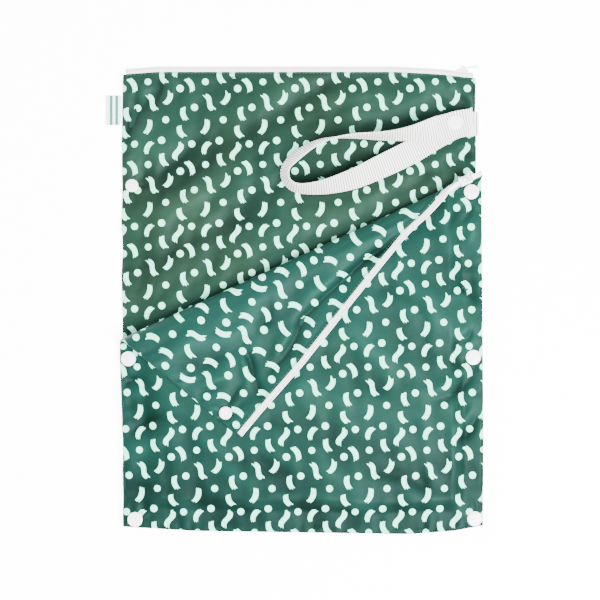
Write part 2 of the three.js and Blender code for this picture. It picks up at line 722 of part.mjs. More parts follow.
function smallSnapPlace(snap) {
  const y = SMALL_BOTTOM + snap.up * SMALL_LENGTH;
  return { x: smallSide(snap.side, snap.up) - snap.side * snap.inset, y };
}

// The place of the undone snap on the turned-over flap
function flapSnapPlace() {
  const frame = smallFrame(columns[0], 0, columns[0].path);
  const heading = 2 * Math.atan(fold.slope) - Math.PI / 2;
  const down = new THREE.Vector2(Math.cos(heading), Math.sin(heading));
  const inwards = new THREE.Vector2(-down.y, down.x);
  return {
    x: frame.middle.x - down.x * FLAP_SNAP.fromMouth + inwards.x * FLAP_SNAP.across,
    y: frame.middle.y - down.y * FLAP_SNAP.fromMouth + inwards.y * FLAP_SNAP.across,
  };
}

const group = new THREE.Group();

function add(name, geometry, material) {
  const mesh = new THREE.Mesh(geometry, material.clone());
  mesh.name = name;
  group.add(mesh);
  return mesh;
}

// Snap pieces, round about z, with the face that lies on the cloth at z 0

function capGeometry(postLength) {
  return lathe([
    [0, -postLength],
    [POST_RADIUS, -postLength],
    [POST_RADIUS, 0],
    [CAP_RADIUS * CAP_SHAPE.under, 0],
    [CAP_RADIUS, CAP_THICK * CAP_SHAPE.edge],
    [CAP_RADIUS * CAP_SHAPE.crown, CAP_THICK],
    [0, CAP_THICK],
  ]);
}

function studGeometry() {
  const bore = POST_RADIUS + GAP;
  const knobTop = STUD_FLANGE + STUD_KNOB;
  return lathe([
    [bore, 0],
    [RING_RADIUS, 0],
    [RING_RADIUS, STUD_FLANGE],
    [STUD_NECK_RADIUS, STUD_FLANGE],
    [STUD_KNOB_RADIUS, knobTop],
    [bore, knobTop],
    [bore, 0],
  ]);
}

// The socket's flange is at z 0 and its mouth looks down
function socketGeometry() {
  const bore = POST_RADIUS + GAP;
  const depth = SOCKET_TOP - STUD_SEAT - STUD_FLANGE - GAP;
  const cavity = STUD_KNOB_RADIUS + GAP;
  return lathe([
    [bore, 0],
    [bore, -SOCKET_ROOF],
    [cavity, -SOCKET_ROOF],
    [cavity, -depth],
    [RING_RADIUS * SOCKET_SHAPE.rim, -depth],
    [RING_RADIUS, -depth * SOCKET_SHAPE.shoulder],
    [RING_RADIUS, 0],
    [bore, 0],
  ]);
}

const postThroughBig = PINCHED + 2 * GAP + STUD_FLANGE;
const postThroughSmall = PINCHED + 2 * GAP + SOCKET_ROOF * SOCKET_SHAPE.post;

function placeSnapPiece(name, geometry, x, y, z, upsideDown) {
  const mesh = add(name, geometry, materials.snap);
  mesh.position.set(x, y, z);
  mesh.rotation.x = upsideDown ? Math.PI : 0;
  return mesh;
}

const BORE_DEPTH = 3 * PINCHED;
const FLAP_BORE_DEPTH = 2 * PINCHED;
const bigHoles = [];
const smallHoles = [];
for (const snap of SNAPS) {
  const { x, y } = smallSnapPlace(snap);
  placeSnapPiece(`back_cap_${snap.name}`, capGeometry(postThroughBig), x, y, CAP_THICK, true);
  placeSnapPiece(`stud_${snap.name}`, studGeometry(), x, y, STUD_SEAT, false);
  bigHoles.push({ x, y, z: LIFT + PINCHED / 2, depth: BORE_DEPTH });
  if (!snap.open) {
    const capSeat = SMALL_BASE + PINCHED + GAP;
    placeSnapPiece(`socket_${snap.name}`, socketGeometry(), x, y, SOCKET_TOP, false);
    placeSnapPiece(`cap_${snap.name}`, capGeometry(postThroughSmall), x, y, capSeat, false);
    smallHoles.push({ x, y, z: SMALL_BASE + PINCHED / 2, depth: BORE_DEPTH });
  }
}

const flapSnap = flapSnapPlace();
const flapUnder = FLAP_LEVEL - HALF_PINCHED - GAP;
const flapOver = FLAP_LEVEL + HALF_PINCHED + GAP;
placeSnapPiece('cap_top_left', capGeometry(postThroughSmall), flapSnap.x, flapSnap.y, flapUnder, true);
placeSnapPiece('socket_top_left', socketGeometry(), flapSnap.x, flapSnap.y, flapOver, true);
smallHoles.push({ x: flapSnap.x, y: flapSnap.y, z: FLAP_LEVEL, depth: FLAP_BORE_DEPTH });

// Bags

const bigColumns = stationsBetween(0, BIG_WIDTH, BIG_COLUMNS, false, MARGIN_STEPS).length - 1;
const bigRows = stationsBetween(0, BIG_LENGTH, BIG_ROWS, false, MOUTH_STEPS).length - 1;
add('big_bag', drill(pouch(bigColumns, bigRows, bigPoint), bigHoles), materials.print);
add('small_bag', drill(pouch(LAST, SMALL_ROWS, smallPoint), smallHoles), materials.print);

const CHAIN_NEAR = TAPE_OUTSIDE + CHAIN_GAP;
const CHAIN_FAR = CHAIN_NEAR + CHAIN_THICK;

// Zips: a frame has the mouth's middle, the direction outwards and the front normal.
// Past the cloth the zip may roll up about a line near the mouth.

function rolled(frame, out, side) {
  if (out <= 0) {
    const inside = out < 0 ? frame.before : frame;
    return inside.middle.clone().addScaledVector(inside.front, side);
  }
  const turn = frame.roll * RAD;
  const hinge = ZIP_HINGE + ZIP_LOOSE * Math.sin(turn);
  const ahead = out - ZIP_HINGE;
  const raised = side + frame.rise;
  const a = hinge + ahead * Math.cos(turn) - raised * Math.sin(turn);
  const b = ahead * Math.sin(turn) + raised * Math.cos(turn);
  return frame.middle.clone().addScaledVector(frame.outwards, a).addScaledVector(frame.front, b);
}

function tapeStrip(frames, way) {
  const outer = CHAIN_WIDTH / 2;
  const sections = frames.map((frame) => {
    const inside = frame.half - CLOTH - GAP - TAPE_THICK / 2;
    const stations = [
      [-TAPE_INSIDE, inside],
      [0, inside],
      [TAPE_OUTSIDE - TAPE_BESIDE, outer - TAPE_THICK / 2],
      [TAPE_OUTSIDE, outer - TAPE_THICK / 2],
    ];
    return stations.map(([out, middle]) => {
      const sides = [way * (middle + TAPE_THICK / 2), way * (middle - TAPE_THICK / 2)];
      return sides.map((side) => rolled(frame, out, side));
    });
  });
  return strip(sections);
}

function chainStrip(frames) {
  const half = CHAIN_WIDTH / 2;
  return strip(frames.map((frame) => [
    [rolled(frame, CHAIN_FAR, half), rolled(frame, CHAIN_NEAR, half)],
    [rolled(frame, CHAIN_FAR, -half), rolled(frame, CHAIN_NEAR, -half)],
  ]));
}

// Slider and pull in their own axes: x along the zip, y outwards, z across the tape

const PLATE_NEAR = CHAIN_FAR + GAP;
const PLATE_FAR = PLATE_NEAR + SLIDER_PLATE;
const PIVOT_OUT = PLATE_FAR + PULL_THICK / 2 + PIVOT_PLAY;
const BAR_HALF = 0.55;
const POST_HALF = 0.45;
const CROWN_GAP = 1.3;
const CROWN_WALL = 0.9;
const CROWN_HALF = 0.8;
const CROWN_INNER = PIVOT_OUT + 1.1;

function sliderGeometry() {
  const half = SLIDER_WIDTH / 2;
  const long = SLIDER_LENGTH / 2;
  const between = CHAIN_WIDTH / 2 - TAPE_THICK - GAP;
  const crownOut = CROWN_GAP + CROWN_WALL;
  const crownTop = CROWN_INNER + CROWN_WALL;
  const innerTop = CHAIN_NEAR - GAP;
  const innerBase = innerTop - SLIDER_PLATE;
  const inner = long * SLIDER_INNER;
  const blocks = [
    [[-long, PLATE_NEAR, -half], [long, PLATE_FAR, half]],
    [[-long, CHAIN_NEAR, half - CROWN_WALL], [long, PLATE_FAR, half]],
    [[-long, CHAIN_NEAR, -half], [long, PLATE_FAR, CROWN_WALL - half]],
    [[-inner, innerBase, -between], [inner, innerTop, between]],
    [[-CROWN_WALL, innerBase, -POST_HALF], [CROWN_WALL, PLATE_FAR, POST_HALF]],
    [[-crownOut, PLATE_NEAR, -CROWN_HALF], [-CROWN_GAP, crownTop, CROWN_HALF]],
    [[CROWN_GAP, PLATE_NEAR, -CROWN_HALF], [crownOut, crownTop, CROWN_HALF]],
    [[-crownOut, CROWN_INNER, -CROWN_HALF], [crownOut, crownTop, CROWN_HALF]],
  ];
  const bodies = blocks.map(([low, high]) => solid(boxBetween(low, high)));
  return fromSolid(bodies.reduce((sum, body) => sum.add(body)));
}

// The pull lies along +x from its crossbar at the origin
function pullGeometry() {
  const arm = PULL_ARM;
  const wide = PULL_WIDTH / 2;
  const shape = new THREE.Shape();
  shape.moveTo(-BAR_HALF, -arm);
  shape.lineTo(PULL_NECK, -arm);
  shape.lineTo(PULL_LENGTH - wide, -wide);
  shape.absarc(PULL_LENGTH - wide, 0, wide, -Math.PI / 2, Math.PI / 2, false);
  shape.lineTo(PULL_NECK, arm);
  shape.lineTo(-BAR_HALF, arm);
  shape.closePath();
  const slot = CROWN_HALF + PULL_PLAY;
  const crownTop = CROWN_INNER + CROWN_WALL - PIVOT_OUT;
  const reach = Math.hypot(CROWN_GAP + CROWN_WALL, crownTop) + PIVOT_PLAY;
  const window = new THREE.Path();
  window.moveTo(BAR_HALF, -slot);
  window.lineTo(BAR_HALF, slot);
  window.lineTo(reach, slot);
  window.lineTo(reach, -slot);
  window.closePath();
  const eye = new THREE.Path();
  const eyeLong = wide * PULL_EYE.along;
  const eyeWide = wide * PULL_EYE.across;
  eye.absellipse(PULL_LENGTH - wide, 0, eyeLong, eyeWide, 0, 2 * Math.PI, true, 0);
  shape.holes.push(window, eye);
  const settings = { depth: PULL_THICK, bevelEnabled: false, curveSegments: 8 };
  const geometry = new THREE.ExtrudeGeometry(shape, settings);
  geometry.translate(0, 0, -PULL_THICK / 2);
  return geometry;
}

// Both tapes, the chain, the slider and the pull of one zip; seat is the slider's place
function addZip(prefix, frames, seat, angle) {
  add(`${prefix}_zip_front_tape`, tapeStrip(frames, 1), materials.zip);
  add(`${prefix}_zip_back_tape`, tapeStrip(frames, -1), materials.zip);
  const basis = new THREE.Matrix4().makeBasis(seat.along, seat.outwards, seat.across);
  basis.setPosition(seat.origin);
  const slot = solid(boxBetween(
    [-CROWN_WALL - GAP, CHAIN_NEAR - 1, -POST_HALF - GAP],
    [SLIDER_LENGTH * SLIDER_SLOT, CHAIN_FAR + 1, POST_HALF + GAP],
  ).applyMatrix4(basis));
  add(`${prefix}_zip_chain`, fromSolid(solid(chainStrip(frames)).subtract(slot)), materials.zip);
  const slider = add(`${prefix}_zip_slider`, sliderGeometry(), materials.slider);
  slider.applyMatrix4(basis);
  const pull = new THREE.Group();
  const piece = new THREE.Mesh(pullGeometry(), materials.slider.clone());
  piece.name = `${prefix}_zip_pull`;
  piece.rotation.set(-Math.PI / 2, 0, 0);
  pull.add(piece);
  pull.rotation.z = angle * RAD;
  pull.position.set(0, PIVOT_OUT, 0);
  const carrier = new THREE.Group();
  carrier.applyMatrix4(basis);
  carrier.add(pull);
  group.add(carrier);
}

const bigMouthHalf = BIG_LOFT / 2;
const bigFrames = BIG_ZIP_STATIONS.map((share) => {
  const inset = SEAM + GAP;
  const x = bigSide(-1, 1) + inset + share * (bigSide(1, 1) - bigSide(-1, 1) - 2 * inset);
  return {
    middle: new THREE.Vector3(x, bigMouth(x), bigMouthHalf),
    outwards: new THREE.Vector3(0, 1, 0),
    front: new THREE.Vector3(0, 0, 1),
    half: bigMouthHalf,
    before: {
      middle: new THREE.Vector3(x, bigMouth(x) - TAPE_INSIDE, bigMouthHalf),
      front: new THREE.Vector3(0, 0, 1),
    },
    roll: 0,
    rise: BIG_ZIP_RISE,
  };
});

function bigSeat() {
  const x = bigSide(1, 1) - BIG_SLIDER_INSET;
  const slope = Math.atan2(bigMouth(x + 1) - bigMouth(x - 1), 2);
  return {
    origin: new THREE.Vector3(x, bigMouth(x), bigMouthHalf + BIG_ZIP_RISE),
    along: new THREE.Vector3(Math.cos(slope), Math.sin(slope), 0),
    outwards: new THREE.Vector3(-Math.sin(slope), Math.cos(slope), 0),
    across: new THREE.Vector3(0, 0, 1),
  };
}

const smallFrames = columns.map((column, i) => {
  const frame = smallFrame(column, foldStart(column), column.path);
  frame.before = smallFrame(column, foldStart(column), column.path - TAPE_INSIDE);
  frame.roll = lookup(ZIP_ROLL, 'along', column.t / TWIST_LENGTH, 'roll');
  frame.rise = 0;
  if (i === 0 || i === LAST) {
    const other = columns[i === 0 ? 1 : LAST - 1];
    const next = smallFrame(other, foldStart(other), other.path);
    const step = next.middle.clone().sub(frame.middle).setZ(0).normalize();
    frame.middle.addScaledVector(step, SEAM + GAP);
    frame.before.middle.addScaledVector(step, SEAM + GAP);
  }
  return frame;
});

function smallSeat() {
  const x = SMALL_RIGHT - SMALL_SLIDER_INSET;
  let k = 0;
  while (columns[k + 1].x < x) {
    k += 1;
  }
  const share = (x - columns[k].x) / (columns[k + 1].x - columns[k].x);
  const frames = [smallFrames[k], smallFrames[k + 1]];
  const mix = (place) => place(frames[0]).lerp(place(frames[1]), share);
  const origin = mix((frame) => rolled(frame, CHAIN_NEAR + CHAIN_THICK / 2, 0));
  const edge = mix((frame) => rolled(frame, CHAIN_NEAR + CHAIN_THICK / 2, CHAIN_WIDTH / 2));
  const along = rolled(frames[1], CHAIN_NEAR, 0).sub(rolled(frames[0], CHAIN_NEAR, 0)).normalize();
  const across = edge.sub(origin);
  across.addScaledVector(along, -across.dot(along)).normalize();
  const outwards = across.clone().cross(along).normalize();
  origin.addScaledVector(outwards, -(CHAIN_NEAR + CHAIN_THICK / 2));
  return { origin, along, outwards, across };
}

addZip('big', bigFrames, bigSeat(), BIG_PULL_ANGLE);
addZip('small', smallFrames, smallSeat(), SMALL_PULL_ANGLE);

// Wrist strap: sewn to the right seam, round its loop and back to its snap

const strapRoot = {
  x: Math.max(...[-1, 0, 1].map((way) => bigSide(1, STRAP_UP + (way * STRAP_WIDTH) / 2 / BIG_LENGTH))),
  y: BIG_BOTTOM + STRAP_UP * BIG_LENGTH,
};

// The strap's snap: stud on the sewn branch, socket and cap on the returning one
const strapSnap = { x: strapRoot.x - STRAP_SNAP_INSET, y: strapRoot.y };
const STRAP_CAP = bigTop(strapSnap.x - CAP_RADIUS, strapSnap.y) + 2 * GAP;
const STRAP_LOWER = STRAP_CAP + CAP_THICK + GAP + STRAP_THICK / 2;
const STRAP_STUD = STRAP_LOWER + STRAP_THICK / 2 + GAP;
const STRAP_SOCKET = STRAP_STUD + SOCKET_TOP - STUD_SEAT;
const STRAP_UPPER = STRAP_SOCKET + GAP + STRAP_THICK / 2;

function strapSection(x, y, z, widthVector, normal) {
  const middle = new THREE.Vector3(x, y, z);
  const w = widthVector.clone().multiplyScalar(STRAP_WIDTH / 2);
  const n = normal.clone().multiplyScalar(STRAP_THICK / 2);
  return [
    [middle.clone().sub(w).add(n), middle.clone().sub(w).sub(n)],
    [middle.clone().add(w).add(n), middle.clone().add(w).sub(n)],
  ];
}

// Values of the route at a share t of its rows, on a smooth curve through them
function routePlace(t) {
  const place = {};
  for (const column of Object.keys(STRAP_ROUTE[0])) {
    const values = STRAP_ROUTE.map((row, k) => new THREE.Vector3(k, row[column], 0));
    const curve = new THREE.CatmullRomCurve3(values, false, 'catmullrom', 0.5);
    place[column] = curve.getPoint(t).y;
  }
  return place;
}

function strapSections() {
  const sections = [];
  const seamX = strapRoot.x + 2 * GAP + STRAP_THICK / 2;
  const seamZ = (LIFT + BIG_MARGIN_TOP) / 2;
  const sideways = new THREE.Vector3(0, 1, 0);
  const topZ = BIG_MARGIN_TOP + GAP + STRAP_THICK / 2 + STRAP_RISE;
  const right = new THREE.Vector3(1, 0, 0);
  sections.push(strapSection(seamX, strapRoot.y, seamZ - STRAP_TAIL, sideways, right));
  for (const turn of [0, 30, 60, 90]) {
    const c = Math.cos(turn * RAD);
    const s = Math.sin(turn * RAD);
    const x = seamX - STRAP_BEND + STRAP_BEND * c;
    const z = topZ - STRAP_BEND + STRAP_BEND * s;
    sections.push(strapSection(x, strapRoot.y, z, sideways, new THREE.Vector3(c, 0, s)));
  }
  const up = new THREE.Vector3(0, 0, 1);
  for (let k = 0; k <= STRAP_STEPS; k += 1) {
    const t = k / STRAP_STEPS;
    const row = routePlace(t);
    const x = strapRoot.x - row.out * STRAP_REACH;
    const y = strapRoot.y + row.across * STRAP_REACH;
    const heading = row.heading * RAD;
    const atSnap = ease(STRAP_SNAP_FREE, STRAP_SNAP_FLAT, Math.abs(x - strapSnap.x));
    const flatRoll = t < 0.5 ? 0 : 180;
    const roll = THREE.MathUtils.lerp(row.roll, flatRoll, atSnap) * RAD;
    const sine = Math.sin(roll);
    const cosine = Math.cos(roll);
    const inwards = new THREE.Vector3(Math.sin(heading), -Math.cos(heading), 0);
    const width = inwards.clone().multiplyScalar(cosine).addScaledVector(up, sine);
    const normal = inwards.clone().multiplyScalar(-sine).addScaledVector(up, cosine);
    const stand = (STRAP_WIDTH * Math.abs(sine) + STRAP_THICK * Math.abs(cosine)) / 2;
    const onEdge = Math.abs(sine) > STRAP_EDGEWISE;
    const ground = Math.max(bigTop(x, y), BIG_MARGIN_TOP + STRAP_RISE, onEdge ? BIG_LOFT : 0);
    const free = ground + GAP + stand + Math.max(row.above, 0);
    const level = t < 0.5 ? STRAP_LOWER : STRAP_UPPER;
    const z = free + (level - free) * atSnap;
    sections.push(strapSection(x, y, z, width, normal));
  }
  return sections;
}

const webbing = STRAP_THICK + 2 * GAP;
const strapHoles = [STRAP_LOWER, STRAP_UPPER].map((z) => ({ ...strapSnap, z, depth: webbing }));
add('strap', drill(strip(strapSections()), strapHoles), materials.webbing);
const strapBackCap = capGeometry(webbing + STUD_FLANGE);
const strapCap = capGeometry(webbing + SOCKET_ROOF * SOCKET_SHAPE.post);
const strapCapSeat = STRAP_UPPER + STRAP_THICK / 2 + GAP;
placeSnapPiece('strap_back_cap', strapBackCap, strapSnap.x, strapSnap.y, STRAP_CAP + CAP_THICK, true);
placeSnapPiece('strap_stud', studGeometry(), strapSnap.x, strapSnap.y, STRAP_STUD, false);
placeSnapPiece('strap_socket', socketGeometry(), strapSnap.x, strapSnap.y, STRAP_SOCKET, false);
placeSnapPiece('strap_cap', strapCap, strapSnap.x, strapSnap.y, strapCapSeat, false);

// Side label: a plain folded tag sewn into the left seam

function labelGeometry() {
  const y = BIG_BOTTOM + LABEL_UP * BIG_LENGTH;
  const root = bigSide(-1, LABEL_UP) - GAP;
  const middle = (LIFT + BIG_MARGIN_TOP) / 2;
  const shape = new THREE.Shape();
  const t = LABEL_THICK;
  const end = -LABEL_LENGTH;
  const tip = t + GAP / 2;
  shape.moveTo(0, tip);
  shape.lineTo(end + tip, tip);
  shape.absarc(end + tip, 0, tip, Math.PI / 2, (3 * Math.PI) / 2, false);
  shape.lineTo(0, -tip);
  shape.lineTo(0, -GAP / 2);
  shape.lineTo(end + tip, -GAP / 2);
  shape.absarc(end + tip, 0, GAP / 2, (3 * Math.PI) / 2, Math.PI / 2, true);
  shape.lineTo(0, GAP / 2);
  shape.closePath();
  const settings = { depth: LABEL_WIDTH, bevelEnabled: false, curveSegments: 4 };
  const geometry = new THREE.ExtrudeGeometry(shape, settings);
  geometry.rotateX(Math.PI / 2);
  geometry.translate(root, y + LABEL_WIDTH / 2, middle);
  return geometry;
}

add('side_label', labelGeometry(), materials.label);

export default group;
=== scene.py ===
import math

import bmesh
import bpy
import numpy as np
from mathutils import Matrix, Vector


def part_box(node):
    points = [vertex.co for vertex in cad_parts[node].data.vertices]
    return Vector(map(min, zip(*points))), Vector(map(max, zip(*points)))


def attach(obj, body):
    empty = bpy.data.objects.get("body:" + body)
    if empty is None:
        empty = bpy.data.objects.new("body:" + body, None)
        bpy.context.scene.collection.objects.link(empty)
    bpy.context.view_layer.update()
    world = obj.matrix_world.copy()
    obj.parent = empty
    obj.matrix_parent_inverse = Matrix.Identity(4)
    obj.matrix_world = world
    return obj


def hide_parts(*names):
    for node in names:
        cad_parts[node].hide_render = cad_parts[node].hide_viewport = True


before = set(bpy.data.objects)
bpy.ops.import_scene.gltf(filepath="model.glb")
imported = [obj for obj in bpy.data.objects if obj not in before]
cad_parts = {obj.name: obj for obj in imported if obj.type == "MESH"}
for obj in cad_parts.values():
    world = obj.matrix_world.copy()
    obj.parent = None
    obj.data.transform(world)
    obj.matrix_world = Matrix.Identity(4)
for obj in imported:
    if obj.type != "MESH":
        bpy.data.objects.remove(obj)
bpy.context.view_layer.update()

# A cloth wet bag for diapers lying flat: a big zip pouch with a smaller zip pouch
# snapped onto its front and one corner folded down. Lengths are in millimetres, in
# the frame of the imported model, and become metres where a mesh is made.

MM = 0.001

# Sizes shared with the solids
BIG_WIDTH = 301.0
BIG_LENGTH = 380.0
BIG_LOFT = 7.3
SMALL_WIDTH = 302.5
SMALL_LENGTH = 296.0
SMALL_LOFT = 7.5
MARGIN_FLAT = 16.0
MARGIN_RISE = 13.0
CLOTH = 1.0
GAP = 0.3
CAP_THICK = 1.3
FOLD_APEX_ACROSS = 0.888
FOLD_APEX_UP = 0.949
FOLD_LEFT_UP = 0.527
FOLD_RADIUS_RIGHT = 3.7
FOLD_RADIUS_LEFT = 7.6
FOLD_THINNING = 34.0
TWIST_LENGTH = 30.0
TWIST_START = -15.0
TWIST_END = 6.0
SETTLE_LENGTH = 25.0
MOUTH_TURN = 2.2
MOUTH_HALF = 2.2
TAPE_THICK = 0.7
TAPE_INSIDE = 1.0
TAPE_OUTSIDE = 3.3
CHAIN_GAP = 0.4
CHAIN_WIDTH = 4.5
CHAIN_THICK = 1.8
BIG_ZIP_RISE = 1.0
STRAP_WIDTH = 20.0
STRAP_THICK = 1.8
STRAP_REACH = 164.0
STRAP_UP = 0.887
STRAP_SNAP_INSET = 19.0
LABEL_WIDTH = 25.0
LABEL_LENGTH = 13.5
LABEL_UP = 0.918

# Heights and places that follow from them
LIFT = CAP_THICK + GAP
PINCHED = 2 * CLOTH + GAP
HALF_PINCHED = PINCHED / 2
BIG_MARGIN_TOP = LIFT + PINCHED
SNAP_STACK = 3.1
SMALL_BASE = LIFT + PINCHED + GAP + SNAP_STACK + GAP
SMALL_TOP = SMALL_BASE + SMALL_LOFT
FLAP_LEVEL = SMALL_TOP + GAP + CAP_THICK + GAP + HALF_PINCHED
BIG_LEFT = -BIG_WIDTH / 2 - 1
BIG_BOTTOM = -BIG_LENGTH / 2 + 1.5
BIG_MOUTH = BIG_BOTTOM + BIG_LENGTH
SMALL_LEFT = BIG_LEFT - 1
SMALL_BOTTOM = BIG_BOTTOM + 0.5

# Finer sizes that only the scene has
SEAM_INSET = 2.1
SEAM_WIDTH = 0.45
ZIP_INSET = 2.3
COIL_PITCH = 0.75
STITCH_LENGTH = 2.1
STITCH_SPACE = 0.9
STITCH_THICK = 0.34
RIB_PITCH = 2.1
RIB_HEIGHT = 0.22
STRAP_BEND = 2.4
WEAVE_PITCH = 0.42
LABEL_WEAVE_PITCH = 0.5
LABEL_STRIPES = (4.0, 8.6)
STRIPE_HALF = 1.2

# Mesh lines: distances of the first ones from a sewn edge, and steps further in
EDGE_STEPS = [0, 0.12, 0.35, 0.7, 1.1, 1.6, 2.1, 2.6, 3.4, 4.6, 6.2]
EDGE_DEPTH = EDGE_STEPS[-1]
BIG_COLUMN_STEP = 2.5
BIG_ROW_STEP = 2.6
SMALL_COLUMN_STEP = 2.4
TWIST_COLUMN_STEP = 0.9
BODY_ROWS = 96
ARC_ROWS = 16
FLAP_ROWS = 62
HEM = 2.4

# Rim rows inside each mouth: how deep they lie, and how far inside the wall
BIG_RIM_DEPTHS = (0.0, 1.2, 5.0)
SMALL_RIM_DEPTHS = (0.0, 0.9, 1.8)
RIM_START = 0.35
RIM_INSET = 0.7

# How strongly each table of creases is applied
BIG_CREASE_GAIN = 1.5
SMALL_CREASE_GAIN = 1.6
FLAP_CREASE_GAIN = 1.5

# The folded corner sinks by this much away from its snap
SINK = 1.1
SINK_REACH = 24

# Height of the small pouch's mouth above the fold's apex, to the apex's right
MOUTH_PAST_APEX = 14

# Farther than anything on the part
FAR = 1e3


def table(columns, rows):
    """Rows of values as dicts, under the names of their columns."""
    names = columns.split()
    return [dict(zip(names, row)) for row in rows]


# Shifts of the sides, the bottom and the mouth off a straight line: places as
# shares of a pouch's height or width, shifts as shares of its width or length
BIG_SIDES = table("up left right", [
    (0.0, 0.003, -0.002), (0.6, 0.0, 0.0), (0.735, 0.0, -0.006), (0.79, 0.0, -0.0125),
    (0.93, 0.0, -0.0145), (1.0, 0.004, -0.0145),
])
SMALL_SIDES = table("up left right", [
    (0.0, 0.01, 0.002), (0.25, 0.008, 0.004), (0.47, 0.0, 0.002), (1.0, 0.0, -0.002),
])
BOTTOM_SAG = table("across drop", [
    (0.0, 0.0), (0.2, 0.0095), (0.5, 0.013), (0.8, 0.0165), (0.92, 0.009), (1.0, -0.003),
])
MOUTH_DIP = table("across drop", [
    (0.0, 0.006), (0.1, 0.0), (0.76, 0.0), (0.88, 0.005), (1.0, 0.0155),
])

# How the folded corner lies, from the fold (0) to its hem (1): the share of the
# fold's own height that is left, and a dip as a share of the small pouch's loft
FLAP_RELIEF = table("along blend dip", [
    (0.0, 1.0, 0.0), (0.2, 1.03, 0.0), (0.4, 0.74, 0.0), (0.6, 0.24, -0.05),
    (0.78, 0.0, -0.2), (1.0, 0.0, 0.0),
])

# How far the zip's edge of the folded corner bows out past a straight fold: places
# as shares of the fold's length, drops as shares of the small pouch's length
FLAP_BOW = table("along drop", [
    (0.0, 0.0), (0.1, 0.0075), (0.28, 0.008), (0.44, 0.0105), (0.7, 0.0165), (0.9, 0.0125),
    (1.0, 0.013),
])

# How far the small zip rolls up beyond the cloth, by distance along the fold from
# its apex, in millimetres
ZIP_ROLL = table("along roll", [
    (-36, 52), (-9, 52), (-3, 48), (2, 34), (6, 15), (10, 0),
])

# Route of the wrist strap from its root, as shares of its reach: heading in plan
# and roll of its face in degrees, and millimetres above the cloth
STRAP_ROUTE = table("out across heading roll above", [
    (0.03, 0.0, 184, 0, 0.2),
    (0.11, -0.018, 196, 0, 1.1),
    (0.21, -0.07, 204, 0, 0.8),
    (0.34, -0.148, 204, 4, 0.0),
    (0.52, -0.236, 200, 24, 0.0),
    (0.63, -0.285, 195, 38, 0.0),
    (0.77, -0.325, 188, 58, 0.0),
    (0.89, -0.335, 175, 72, 0.0),
    (0.955, -0.31, 150, 74, 0.0),
    (0.975, -0.245, 100, 68, 0.0),
    (0.935, -0.185, 60, 64, 0.0),
    (0.855, -0.125, 36, 70, 0.0),
    (0.76, -0.085, 16, 80, 0.0),
    (0.63, -0.07, 1, 92, 0.0),
    (0.5, -0.07, 2, 101, 0.0),
    (0.41, -0.066, 6, 110, 1.2),
    (0.32, -0.055, 10, 124, 3.6),
    (0.23, -0.035, 15, 146, 6.0),
    (0.15, -0.015, 19, 172, 7.2),
    (0.1, -0.001, 16, 180, 7.2),
    (0.02, 0.012, 6, 180, 4.6),
])

# Creases on the big pouch's bare cloth: from one place to another, half width,
# height (a valley is negative) and sideways bow, all in millimetres
BIG_CREASES = table("from to width height bow", [
    ((-138, 177), (-149, 137), 3.2, -1.2, 2),
    ((-130, 182), (-137, 166), 3.5, 1.1, 0),
    ((-118, 191), (-126, 156), 4.5, -1.2, 3),
    ((-102, 186), (-141, 105), 6.5, 1.2, -8),
    ((-76, 151), (-137, 95), 7.0, -1.2, 5),
    ((-81, 94), (-118, 64), 6.0, 1.3, -2),
    ((-70, 76), (-90, 58), 6.0, 1.1, 0),
    ((-41, 150), (-39, 98), 7.0, -0.9, 3),
    ((-85, 29), (-114, -8), 6.0, 1.1, -3),
    ((-104, 44), (-140, 8), 7.0, -0.9, 3),
    ((-52, 110), (-75, 84), 6.0, -0.8, -2),
    ((10, 165), (75, 172), 6.0, 0.9, 3),
    ((20, 150), (90, 155), 7.0, -0.8, -3),
    ((126, 172), (141, 163), 2.6, -1.0, 1),
    ((120, 178), (139, 177), 2.8, 0.8, 0),
    ((136, 174), (146, 156), 2.2, 0.9, 1),
    ((80, 120), (108, 108), 4.0, -0.8, -1),
    ((90, 132), (130, 122), 4.5, 0.8, 2),
    ((128, 128), (145, 120), 3.0, -0.8, 1),
    ((-2, 60), (60, 92), 7.0, 0.8, -3),
    ((-60, 62), (-20, 70), 7.0, -0.7, 3),
])

# Creases on the small pouch's lower front
SMALL_CREASES = table("from to width height bow", [
    ((128, 78), (135, 92), 2.4, 1.2, 1),
    ((133, 66), (143, 84), 2.8, -1.1, -2),
    ((122, 60), (132, 80), 3.2, -0.9, 1),
    ((138, 52), (147, 66), 3.0, 0.9, 0),
    ((124, 9), (135, 10), 2.4, -1.1, 1),
    ((133, 11), (147, 0), 2.6, -1.1, 1),
    ((124, 4), (142, 6), 2.8, 0.9, 0),
    ((126, -36), (136, -33), 2.2, -1.3, 1),
    ((135, -33), (141, -24), 2.2, -1.2, -1),
    ((130, -28), (139, -20), 2.4, 1.1, 0),
    ((140, -54), (150, -58), 2.0, -1.0, 0),
    ((111, -83), (141, -63), 4.0, -1.2, -3),
    ((106, -74), (135, -56), 4.0, 1.0, -3),
    ((130, -116), (147, -95), 3.4, -1.2, -2),
    ((124, -108), (142, -88), 3.4, 0.9, -2),
    ((-150, -72), (-138, -63), 2.8, -1.1, 1),
    ((-150, -80), (-128, -74), 3.6, 0.9, 0),
    ((-146, -112), (-118, -96), 5.0, -1.0, 2),
    ((-140, -126), (-108, -112), 6.0, 0.9, 2),
    ((-60, -128), (-8, -150), 7.0, -0.8, 4),
    ((20, -20), (70, -48), 8.0, 0.8, 4),
    ((40, -60), (92, -70), 8.0, -0.8, -4),
    ((60, 20), (100, -8), 7.0, -0.7, 3),
    ((-30, -160), (60, -172), 6.0, 0.7, 3),
    ((60, -140), (120, -160), 7.0, -0.8, 3),
    ((-120, -160), (-70, -176), 5.0, 0.8, -2),
])

